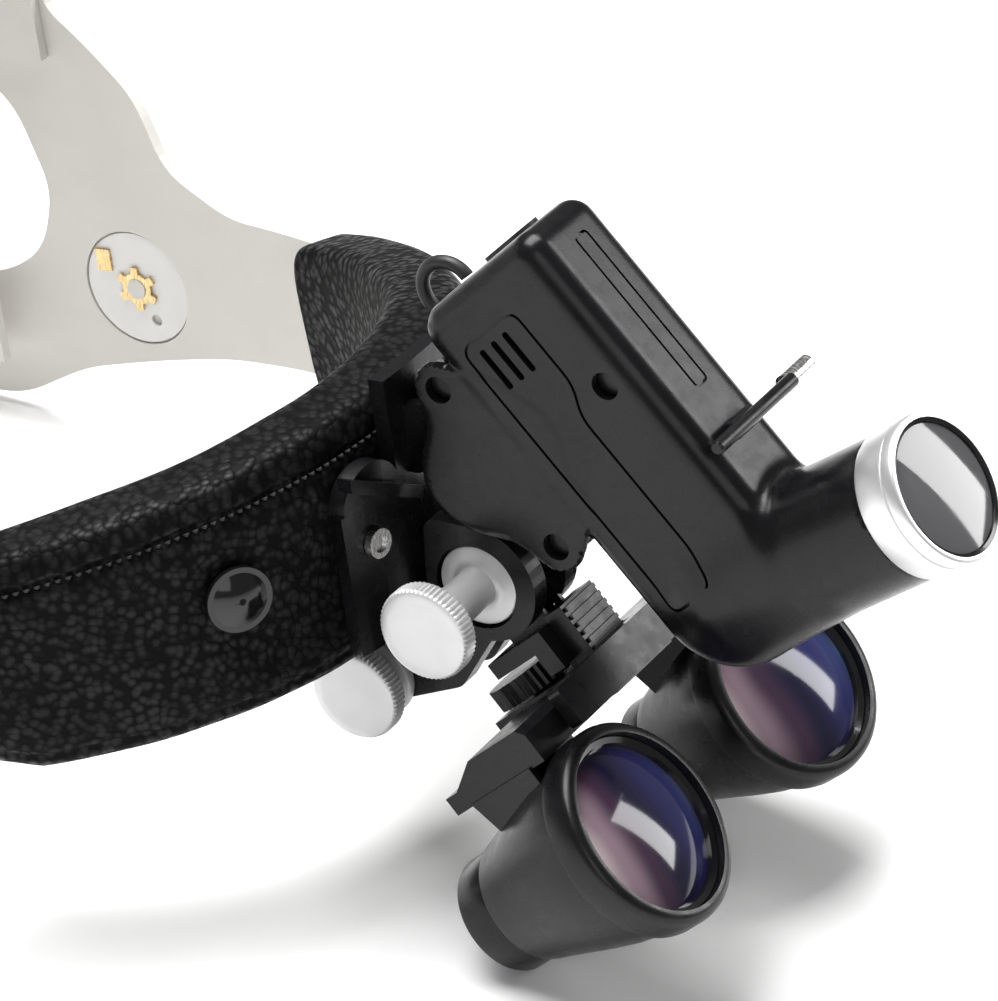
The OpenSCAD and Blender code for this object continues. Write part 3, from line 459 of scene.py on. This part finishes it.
# ---- thumbscrews -----------------------------------------------------------------------
def ridged_lathe(profile, around, ridge_count, centre, start_x):
    """Turns (x, radius, ridge depth) steps about a line along +X. Ridges are cut where depth > 0."""
    rings = []
    for x, radius, depth in profile:
        ring = []
        for i in range(around):
            turn = 2 * math.pi * i / around
            cut = depth * (0.5 - 0.5 * math.cos(ridge_count * turn)) ** 0.7
            r = radius - cut
            ring.append(Vector((start_x + x, centre.y / MM + r * math.cos(turn),
                                centre.z / MM + r * math.sin(turn))) * MM)
        rings.append(ring)
    return loft(rings)


HEAD_W = 4.2                    # width of the knurled head, in mm
HEAD_PROFILE = [(0.0, 0.2, 0), (0.0, 6.0, 0), (0.05, 7.6, 0), (0.3, 8.05, 0.05), (0.7, 8.45, 0.3),
                (1.0, 8.5, 0.38), (3.2, 8.5, 0.38), (3.5, 8.45, 0.3), (3.9, 8.05, 0.05),
                (4.15, 7.6, 0), (HEAD_W, 4.6, 0), (4.4, 4.1, 0)]
FLANGE_PROFILE = [(-0.5, 3.75, 0), (-0.1, 4.3, 0), (0.0, 5.2, 0), (0.0, 6.9, 0), (0.15, 7.25, 0),
                  (0.5, 7.4, 0), (1.7, 7.4, 0), (1.95, 7.3, 0), (2.0, 6.5, 0), (2.0, 2.4, 0)]
PITCH, CREST_R, ROOT_R = 0.5, 2.38, 2.15        # thread


def build_thumbscrew(node, body, neck):
    """A turned thumbscrew: knurled head, smooth neck, round flange and a threaded end."""
    low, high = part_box(node)
    length = (high[0] - low[0]) / MM
    profile = list(HEAD_PROFILE)
    if neck > 5:
        profile += [(4.9, 3.85, 0), (HEAD_W + neck - 1.0, 3.6, 0)]
    profile += [(HEAD_W + neck + x, r, d) for x, r, d in FLANGE_PROFILE]
    x = HEAD_W + neck + 2.2
    while x < length - 0.4:
        profile += [(x, CREST_R, 0), (x + PITCH / 2, ROOT_R, 0)]
        x += PITCH
    profile += [(length - 0.1, 2.1, 0), (length, 1.6, 0), (length, 0.1, 0)]
    verts, faces = ridged_lathe(profile, 300, 60, middle(node), low[0] / MM)
    screw = mesh_object(node + "_turned", verts, faces, MATERIALS["white_metal"])
    sharpen(screw, 35)
    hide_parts(node)
    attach(screw, body)


def sharpen(obj, angle):
    """Keeps edges steeper than the angle sharp under smooth shading."""
    bm = bmesh.new()
    bm.from_mesh(obj.data)
    limit = math.radians(angle)
    for edge in bm.edges:
        edge.smooth = not (len(edge.link_faces) == 2 and edge.calc_face_angle(0) > limit)
    bm.to_mesh(obj.data)
    bm.free()


build_thumbscrew("upper_thumbscrew", "upper_screw", 14.0)
build_thumbscrew("lower_thumbscrew", "lower_screw", 2.2)

# ---- lamp housing ------------------------------------------------------------------------
# The box and the tube meet at the elbow. Each has its own frame there: y back, z up, in mm.
JOINT_AT = {joint["name"]: Vector(joint["pos_m"])
            for joint in frame["record"]["behaviour"]["joints"] if "pos_m" in joint}
BOX_LEAN, TUBE_LEAN = 49, 40.3                  # degrees
BOX_TURN = Matrix.Rotation(math.radians(-BOX_LEAN), 3, "X")
TUBE_TURN = Matrix.Rotation(math.radians(-TUBE_LEAN), 3, "X")
CLIP_AT = (-19.2, 21.0)         # hinge of the filter clip, (y, z) in the box's frame
ELBOW = JOINT_AT["filter_flip"] - BOX_TURN @ (Vector((0, *CLIP_AT)) * MM)
BOX_W, BOX_FRONT, BOX_BACK, BOX_TOP, BOX_FOOT = 20.0, -17.0, 15.0, 67.0, -12.2
# Corner radii of the box's side view, from back low over the top to front low, and of its edges.
BOX_CORNERS, BOX_EDGE = (14.0, 5.0, 4.0, 4.0), 4.2
TUBE_R, TUBE_FRONT, TUBE_BACK = 12.45, -35.65, 1.5
SCREWS = [(18.4, 56.0), (-10.1, 39.6), (20.4, 23.8)]    # (y, z) in the box's frame
POST_R, POST_SLIM_R = 4.0, 3.2  # screw posts near the side walls, and in the middle
LOBE, LOBE_R, WALL = (26.0, 41.0), 7.5, 1.8     # side walls reach back around the hinge
HINGE_LUG, LUG_R, LUG_HALF_W = (20.0, 47.0), 4.2, 2.1
CHEEK_ROOM = 5.6                # posts are slim this far to each side, to clear the plate's cheeks


def from_box(point):
    """Carries a point from the box's frame to the scene."""
    return ELBOW + BOX_TURN @ (Vector(point) * MM)


def from_tube(point):
    """Carries a point from the tube's frame to the scene."""
    return ELBOW + TUBE_TURN @ (Vector(point) * MM)


def blend_min(a, b, reach):
    """Union of two distance fields with a fillet of about the given reach."""
    h = np.clip(0.5 + 0.5 * (b - a) / reach, 0, 1)
    return b * (1 - h) + a * h - reach * h * (1 - h)


def corner_distance(a, b):
    """Distance to the region where two fields are both negative, with a round outer corner."""
    return np.minimum(np.maximum(a, b), 0) + np.hypot(np.maximum(a, 0), np.maximum(b, 0))


def rounded_prism(along, side, up, half_along, radii, half_side, edge, centre):
    """Distance to a prism across `side`, with its own radius at each corner of its outline."""
    u, v = along - centre[0], up - centre[1]
    back_low, back_top, front_top, front_low = radii
    r = np.where(u > 0, np.where(v > 0, back_top, back_low), np.where(v > 0, front_top, front_low))
    qx, qy = np.abs(u) - half_along[0] + r, np.abs(v) - half_along[1] + r
    outline = corner_distance(qx, qy) - r
    return corner_distance(outline + edge, np.abs(side) - half_side + edge) - edge


def taper_distance(y, z, start, start_r, end, end_r):
    """Distance in the side view to a bar that tapers between two round ends."""
    dy, dz = end[0] - start[0], end[1] - start[1]
    t = np.clip(((y - start[0]) * dy + (z - start[1]) * dz) / (dy * dy + dz * dz), 0, 1)
    return np.hypot(y - start[0] - t * dy, z - start[1] - t * dz) - (start_r + t * (end_r - start_r))


def lobe_distance(x, y, z):
    """Distance to the two side walls that cover the hinge."""
    upper, lower, boss = SCREWS[0], SCREWS[2], 3.5
    bars = [((13.0, 41.0), 9.0, LOBE, LOBE_R), (upper, boss, LOBE, LOBE_R),
            (lower, boss, LOBE, LOBE_R), ((13.0, 50.0), 5.0, upper, boss),
            ((13.0, 28.0), 5.0, lower, boss)]
    outline = taper_distance(y, z, *bars[0])
    for bar in bars[1:]:
        outline = blend_min(outline, taper_distance(y, z, *bar), 5.0)
    side = np.abs(np.abs(x) - (BOX_W - WALL) / 2) - WALL / 2
    edge = 0.5
    return corner_distance(outline + edge, side + edge) - edge


def housing_distance(points):
    """Distance in mm from the lamp housing's surface, for points in the box's frame."""
    x, y, z = points[:, 0], points[:, 1], points[:, 2]
    half = ((BOX_BACK - BOX_FRONT) / 2, (BOX_TOP - BOX_FOOT) / 2)
    centre = ((BOX_BACK + BOX_FRONT) / 2, (BOX_TOP + BOX_FOOT) / 2)
    shape = rounded_prism(y, x, z, half, BOX_CORNERS, BOX_W / 2, BOX_EDGE, centre)
    post_r = POST_SLIM_R + (POST_R - POST_SLIM_R) * np.clip(np.abs(x) - CHEEK_ROOM, 0.0, 1.0)
    for along, up in SCREWS:
        post = np.maximum(np.hypot(y - along, z - up) - post_r, np.abs(x) - BOX_W / 2 + 0.6)
        shape = blend_min(shape, post, 0.8)
    shape = blend_min(shape, lobe_distance(x, y, z), 0.8)
    lug = np.maximum(np.hypot(y - HINGE_LUG[0], z - HINGE_LUG[1]) - LUG_R, np.abs(x) - LUG_HALF_W)
    shape = blend_min(shape, lug, 1.5)
    tilt = math.radians(BOX_LEAN - TUBE_LEAN)
    ty = y * math.cos(tilt) + z * math.sin(tilt)
    tz = -y * math.sin(tilt) + z * math.cos(tilt)
    reach = np.hypot(x, tz)
    round_end = np.sqrt(reach ** 2 + (ty - TUBE_BACK) ** 2)
    tube = np.where(ty > TUBE_BACK, round_end - TUBE_R, reach - TUBE_R)
    tube = np.maximum(tube, TUBE_FRONT - ty)
    return blend_min(shape, tube, 3.5)


def settle(coords, distance, rounds=5, step=0.05):
    """Moves points onto the zero surface of a distance field."""
    for _ in range(rounds):
        d = distance(coords)
        rises = [distance(coords + step * axis) - distance(coords - step * axis)
                 for axis in np.eye(3)]
        slope = np.stack([rise / (2 * step) for rise in rises], axis=1)
        size = np.maximum((slope ** 2).sum(axis=1), 0.2)
        coords = coords - slope * (d / size)[:, None]
    return coords


def solid_from_field(name, distance, low, high, cell, material):
    """Meshes a distance field: the outer faces of grid cells, moved onto its zero surface."""
    axes = [np.arange(a, b + cell, cell) for a, b in zip(low, high)]
    grid = np.stack(np.meshgrid(*axes, indexing="ij"), axis=-1)
    inside = distance(grid.reshape(-1, 3)).reshape(grid.shape[:3]) < 0
    verts, faces, index = [], [], {}

    def corner(i, j, k):
        key = (i, j, k)
        if key not in index:
            index[key] = len(verts)
            verts.append((axes[0][0] + (i - 0.5) * cell, axes[1][0] + (j - 0.5) * cell,
                          axes[2][0] + (k - 0.5) * cell))
        return index[key]

    # Each way out of a cell, and the four corners of the face there.
    sides = (((1, 0, 0), ((1, 0, 0), (1, 1, 0), (1, 1, 1), (1, 0, 1))),
             ((-1, 0, 0), ((0, 0, 0), (0, 0, 1), (0, 1, 1), (0, 1, 0))),
             ((0, 1, 0), ((0, 1, 0), (0, 1, 1), (1, 1, 1), (1, 1, 0))),
             ((0, -1, 0), ((0, 0, 0), (1, 0, 0), (1, 0, 1), (0, 0, 1))),
             ((0, 0, 1), ((0, 0, 1), (1, 0, 1), (1, 1, 1), (0, 1, 1))),
             ((0, 0, -1), ((0, 0, 0), (0, 1, 0), (1, 1, 0), (1, 0, 0))))
    padded = np.pad(inside, 1)
    nx, ny, nz = inside.shape
    for (dx, dy, dz), corners in sides:
        outer = inside & ~padded[1 + dx:nx + 1 + dx, 1 + dy:ny + 1 + dy, 1 + dz:nz + 1 + dz]
        for i, j, k in np.argwhere(outer):
            faces.append(tuple(corner(i + a, j + b, k + c) for a, b, c in corners))
    coords = np.array(verts)
    coords = settle(coords, distance)
    obj = mesh_object(name, coords, faces, material)
    relax = obj.modifiers.new("relax", "LAPLACIANSMOOTH")
    relax.iterations, relax.lambda_factor = 2, 0.6
    bake(obj)
    coords = np.array([v.co[:] for v in obj.data.vertices])
    coords = settle(coords, distance, 3)
    for vertex, place in zip(obj.data.vertices, coords):
        vertex.co = place
    return obj


def bake(obj):
    """Applies the object's modifiers to its mesh."""
    graph = bpy.context.evaluated_depsgraph_get()
    mesh = bpy.data.meshes.new_from_object(obj.evaluated_get(graph))
    obj.modifiers.clear()
    obj.data = mesh


def outline_groove(points, width, x0, x1):
    """A closed band of the given width along an outline of [y, z] points, from x0 to x1."""
    rings = []
    count = len(points)
    for i, (y, z) in enumerate(points):
        py, pz = points[i - 1]
        ny, nz = points[(i + 1) % count]
        dy, dz = ny - py, nz - pz
        size = math.hypot(dy, dz) or 1
        sy, sz = -dz / size * width / 2, dy / size * width / 2
        rings.append([(x0, y - sy, z - sz), (x0, y + sy, z + sz),
                      (x1, y + sy, z + sz), (x1, y - sy, z - sz)])
    rings.append(rings[0])
    return loft(rings, capped=False)


def rounded_outline(corners, reach, steps=5):
    """An outline whose corners are rounded, each from `reach` before it to `reach` after it."""
    points = []
    for i, here in enumerate(corners):
        here = Vector(here)
        back = (Vector(corners[i - 1]) - here).normalized() * reach
        ahead = (Vector(corners[(i + 1) % len(corners)]) - here).normalized() * reach
        for k in range(steps + 1):
            t = k / steps
            points.append(tuple((1 - t) ** 2 * (here + back) + 2 * t * (1 - t) * here
                                + t * t * (here + ahead)))
    return points


def disc_cutter(y, z, r, x0, x1, around=28):
    """A round plug across the box, from x0 to x1."""
    turns = [2 * math.pi * i / around for i in range(around)]
    return loft([[(x, y + r * math.cos(t), z + r * math.sin(t)) for t in turns] for x in (x0, x1)])


def slab_cutter(points, x0, x1):
    """A plug across the box with the given outline, from x0 to x1."""
    return loft([[(x, y, z) for y, z in points] for x in (x0, x1)])


def cut(obj, name, pieces):
    """Cuts several closed shapes, given in the object's own coordinates, out of a mesh."""
    verts, faces = [], []
    for v, f in pieces:
        base = len(verts)
        verts += list(v)
        faces += [tuple(base + i for i in face) for face in f]
    cutter = mesh_object(name, verts, faces, MATERIALS["black_plastic"], smooth=False)
    bm = bmesh.new()
    bm.from_mesh(cutter.data)
    bmesh.ops.recalc_face_normals(bm, faces=bm.faces)
    bm.to_mesh(cutter.data)
    bm.free()
    boolean = obj.modifiers.new("cut", "BOOLEAN")
    boolean.operation = "DIFFERENCE"
    boolean.object = cutter
    boolean.solver = "EXACT"
    bake(obj)
    bpy.data.objects.remove(cutter)


def build_housing():
    """The lamp's body, side shell and panel as one smooth form, with its grooves and recesses."""
    housing = solid_from_field("lamp_housing", housing_distance, (-13, -38.5, -17), (13, 36, 69),
                               0.75, MATERIALS["black_plastic"])
    near = -BOX_W / 2
    panel = rounded_outline([(-5, 58.5), (9, 58.5), (9, 3.5), (-2, 3.5), (-2, 38), (-5, 43)], 2.4)
    pieces = [outline_groove(panel, 0.55, near - 2, near + 0.55)]
    for along, up in SCREWS:
        pieces.append(disc_cutter(along, up, 2.45, near - 2, near + 2.2))
    slot_half, slot_low, slot_top = 0.65, 48.6, 56.6
    for k in range(3):
        y = 5.6 - 3.1 * k
        slot = rounded_outline([(y - slot_half, slot_low), (y + slot_half, slot_low),
                                (y + slot_half, slot_top), (y - slot_half, slot_top)], 0.6, 3)
        pieces.append(slab_cutter(slot, near - 2, near + 1.6))
    cut(housing, "side_cutter", pieces)

    # The front groove is drawn across the box like the side one, then turned to face forward.
    front = rounded_outline([(-0.6, 30), (2.8, 30), (2.8, 61), (-0.6, 61)], 0.8, 3)
    v, f = outline_groove(front, 0.5, 0, 1)
    v = [(p[1], BOX_FRONT - 1.5 + 2.1 * p[0], p[2]) for p in v]
    button = rounded_outline([(-3.4, -12.2), (3.4, -12.2), (3.4, 0.2), (-3.4, 0.2)], 3.2)
    well = loft([[(x, y, z) for x, y in button] for z in (BOX_TOP - 0.9, BOX_TOP + 2)])
    socket_r, socket_y, socket_turns = 3.0, 8, [math.tau * i / 24 for i in range(24)]
    socket = loft([[(socket_r * math.cos(t), socket_y + socket_r * math.sin(t), z)
                    for t in socket_turns] for z in (BOX_TOP - 0.6, BOX_TOP + 2)])
    cut(housing, "front_cutter", [(v, f), well, socket])

    for vertex in housing.data.vertices:
        vertex.co = from_box(vertex.co)
    for polygon in housing.data.polygons:
        polygon.use_smooth = True
    sharpen(housing, 38)
    dress(housing, MATERIALS["black_plastic"])
    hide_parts("lamp_body", "lamp_cover", "side_panel")
    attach(housing, "lamp")


# ---- lenses and rings -------------------------------------------------------------------
def lathe(name, profile, place, material, body, around=128, stand_for=(), closed=True):
    """Turns (y, radius) steps about the y axis. `place` carries each point to the scene.

    A closed profile makes a ring. An open one starts and ends on the axis and makes a solid.
    """
    rings = []
    for y, r in profile:
        turns = (2 * math.pi * i / around for i in range(around))
        rings.append([place((r * math.cos(turn), y, r * math.sin(turn))) for turn in turns])
    if closed:
        rings.append(rings[0])
    verts, faces = loft(rings, capped=not closed)
    obj = mesh_object(name, verts, faces, material)
    bm = bmesh.new()
    bm.from_mesh(obj.data)
    bmesh.ops.remove_doubles(bm, verts=bm.verts, dist=1e-7)
    bmesh.ops.recalc_face_normals(bm, faces=bm.faces)
    bm.to_mesh(obj.data)
    bm.free()
    for polygon in obj.data.polygons:
        polygon.use_smooth = True
    sharpen(obj, 30)
    if stand_for:
        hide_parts(*stand_for)
    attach(obj, body)


AXIS_R = 0.001                  # stands for the axis, so that a ring of points never has no size


def dome_profile(front, back, r, radius, steps=22):
    """A lens with a domed front at y = front and a flat back at y = back."""
    flat = math.sqrt(radius ** 2 - r ** 2)
    rise = radius - flat
    arc = []
    for k in range(steps + 1):
        out = r * k / steps
        arc.append((front + rise - (math.sqrt(radius ** 2 - out ** 2) - flat), max(out, AXIS_R)))
    return arc + [(back, r), (back, AXIS_R)]


LOUPE_TURN = Matrix.Rotation(math.radians(-46.7), 3, "X")
WHEEL_AT = Vector((0, 23, 26))  # spacing wheel in the loupes' frame, whose origin is between the rims
LOUPE_ORIGIN = JOINT_AT["spacing_turn"] - LOUPE_TURN @ (WHEEL_AT * MM)
BARREL_X = 25.0


def from_barrel(side):
    """The step from one barrel's frame to the scene. Side is -1 for right, 1 for left."""
    turn = Matrix.Rotation(math.radians(-side * TOE_IN), 3, "Z")
    start = Vector((side * BARREL_X, 0, 0))
    return lambda point: LOUPE_ORIGIN + LOUPE_TURN @ ((start + turn @ Vector(point)) * MM)


# Turned profiles in mm, (y, radius). On a barrel y is 0 at the rim and runs back.
# On the lamp's tube y is 0 at the elbow, so its front end has negative values.
RING_PROFILE = [(0.0, 16.1), (0.0, 16.6), (0.1, 17.2), (0.4, 17.8), (0.9, 18.2), (1.7, 18.4),
                (5.3, 18.4), (6.1, 18.25), (6.55, 17.8), (6.7, 17.2), (6.7, 16.7), (2.5, 16.7),
                (2.5, 16.1)]
CONE_PROFILE = [(6.8, 17.15), (9.0, 17.0), (13.0, 16.3), (18.0, 15.0), (23.0, 13.5), (27.5, 12.2),
                (30.0, 11.5), (30.55, 11.3), (30.6, 10.9), (30.6, 9.6), (28.0, 10.3), (10.0, 15.6),
                (6.8, 16.4)]
EYE_PROFILE = [(30.7, 9.5), (30.7, 10.3), (30.9, 10.55), (31.2, 10.6), (36.8, 10.6), (37.3, 10.35),
               (37.5, 9.9), (37.5, 9.0), (35.4, 8.92), (35.4, 8.3), (33.8, 8.3), (33.8, 9.5)]
LENS_RING_PROFILE = [(2.1, 16.08), (1.5, 15.9), (2.0, 15.0), (2.9, 14.7), (3.35, 14.8),
                     (3.35, 16.08)]
BAFFLE_PROFILE = [(6.0, 15.0), (6.0, 9.5), (6.4, 9.5), (6.4, 15.0)]
SILVER_PROFILE = [(-43.9, 11.8), (-43.95, 12.3), (-43.8, 12.7), (-43.4, 12.9), (-41.7, 12.9),
                  (-41.6, 12.65), (-41.3, 12.65), (-41.2, 12.9), (-36.2, 12.9), (-35.8, 12.7),
                  (-35.75, 11.8)]
RIM_PROFILE = [(-43.75, 11.75), (-43.6, 11.15), (-43.0, 11.05), (-41.0, 11.05), (-41.0, 11.75)]


def build_optics():
    """Rings, cones and lenses of both loupes, then the lamp's lens and its silver bezel."""
    black, gloss = MATERIALS["black_metal"], MATERIALS["black_gloss"]
    for side, word in ((-1, "right"), (1, "left")):
        place, body = from_barrel(side), word + "_loupe"
        lathe("front_ring_" + word, RING_PROFILE, place, black, body,
              stand_for=("bezel_" + word,))
        lathe("cone_" + word, CONE_PROFILE, place, black, body,
              stand_for=("barrel_" + word,))
        lathe("eye_ring_" + word, EYE_PROFILE, place, MATERIALS["black_plastic"], body,
              stand_for=("eyepiece_" + word,))
        lathe("front_lens_" + word, dome_profile(0.25, 3.4, 15.9, 44.0), place,
              MATERIALS["lens_" + word], body, stand_for=("objective_" + word,),
              closed=False)
        lathe("lens_ring_" + word, LENS_RING_PROFILE, place, gloss, body)
        lathe("baffle_" + word, BAFFLE_PROFILE, place, gloss, body)
    lathe("lamp_front_lens", dome_profile(-43.9, -41.5, 11.0, 90.0), from_tube,
          MATERIALS["lamp_glass"], "lamp", stand_for=("lamp_lens",), closed=False)
    lathe("lamp_bezel_ring", SILVER_PROFILE, from_tube, MATERIALS["silver"], "lamp",
          stand_for=("lamp_bezel",))
    lathe("lamp_inner_rim", RIM_PROFILE, from_tube, gloss, "lamp")


# ---- filter clip ---------------------------------------------------------------------------
def build_filter_clip():
    """A round bar held by a short link on a hub around the clip's pin."""
    def along_bar(out):
        return lambda p: from_box((p[1], CLIP_AT[0] + out + p[0], CLIP_AT[1] + p[2]))

    bar = [(-14.0, AXIS_R), (-14.0, 0.9), (-13.6, 1.25), (11.4, 1.25), (11.8, 0.9), (11.8, AXIS_R)]
    lathe("filter_bar", bar, along_bar(-4.1), MATERIALS["black_metal"], "filter", 40,
          ("filter_clip",), closed=False)
    hub = [(-3.3, 0.97), (-3.3, 1.5), (-3.1, 1.7), (3.1, 1.7), (3.3, 1.5), (3.3, 0.97)]
    lathe("filter_hub", hub, along_bar(0.0), MATERIALS["black_metal"], "filter", 40)
    corners = [(-1.2, -0.8), (-1.2, 0.8), (-3.6, 0.7), (-3.6, -0.7)]
    rings = [[from_box((x, CLIP_AT[0] + y, CLIP_AT[1] + z)) for y, z in corners] for x in (-2.8, 2.8)]
    verts, faces = loft(rings)
    link = mesh_object("filter_link", verts, faces, MATERIALS["black_metal"], smooth=False)
    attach(link, "filter")


build_housing()
build_optics()
build_filter_clip()


# ---- table, light and camera ---------------------------------------------------------------
def build_table():
    """A plain white table top, just under the object."""
    bpy.ops.mesh.primitive_plane_add(size=8.0, location=(0, 0, -0.0002))
    table = bpy.context.object
    table.name = "table"
    n = Nodes("table_white")
    n.set(Roughness=0.55, Specular_IOR_Level=0.3)
    n.link(n.mix(n.noise(6.0), (0.93, 0.93, 0.925), (0.95, 0.95, 0.945)), n.shader.inputs["Base Color"])
    dress(table, n.material)


def area_light(name, spot, target, size, power):
    """A white rectangular light at spot, facing target."""
    data = bpy.data.lights.new(name, "AREA")
    data.shape = "RECTANGLE"
    data.size, data.size_y = size
    data.energy = power
    light = bpy.data.objects.new(name, data)
    light.location = spot
    light.rotation_euler = (Vector(target) - Vector(spot)).to_track_quat("-Z", "Y").to_euler()
    bpy.context.collection.objects.link(light)


def build_light():
    """Soft studio light: one overhead, two weak ones in front, left and right, a dim surround."""
    world = bpy.data.worlds.new("studio")
    bpy.context.scene.world = world
    world.use_nodes = True
    back = world.node_tree.nodes["Background"]
    back.inputs["Color"].default_value = (1, 1, 1, 1)
    back.inputs["Strength"].default_value = 0.2
    area_light("overhead", (0.1, 0.35, 1.4), (0, 0, 0), (1.3, 0.9), 44)
    area_light("front_left", (-1.2, -1.1, 0.9), (0, -0.05, 0.05), (0.9, 1.1), 5)
    area_light("right", (1.1, -0.9, 0.7), (0, -0.05, 0.05), (0.3, 1.0), 9)


CAMERA_TURN = (-60.0, 32.1, 1.28)               # azimuth, elevation and roll in degrees
CAMERA_AIM = Vector((-0.0288, -0.0954, 0.0889))
CAMERA_DISTANCE, FOCAL_LENGTH = 0.874, 197.3    # metres, mm on a 36 mm sensor


def build_camera():
    """A long lens that looks down from the wearer's front right, rolled a little."""
    azimuth, elevation, roll = (math.radians(v) for v in CAMERA_TURN)
    right = Vector((math.cos(azimuth), math.sin(azimuth), 0))
    back = Vector((math.sin(azimuth) * math.cos(elevation), -math.cos(azimuth) * math.cos(elevation),
                   math.sin(elevation)))
    up = back.cross(right)
    tilted_right = right * math.cos(roll) + up * math.sin(roll)
    tilted_up = up * math.cos(roll) - right * math.sin(roll)
    data = bpy.data.cameras.new("camera")
    data.sensor_fit = "HORIZONTAL"
    data.sensor_width = 36
    data.lens = FOCAL_LENGTH
    data.clip_end = 20
    camera = bpy.data.objects.new("camera", data)
    turn = Matrix((tilted_right, tilted_up, back)).transposed().to_4x4()
    camera.matrix_world = Matrix.Translation(CAMERA_AIM + CAMERA_DISTANCE * back) @ turn
    bpy.context.collection.objects.link(camera)
    bpy.context.scene.camera = camera


build_table()
build_light()
build_camera()
bpy.context.scene.view_settings.view_transform = "Standard"
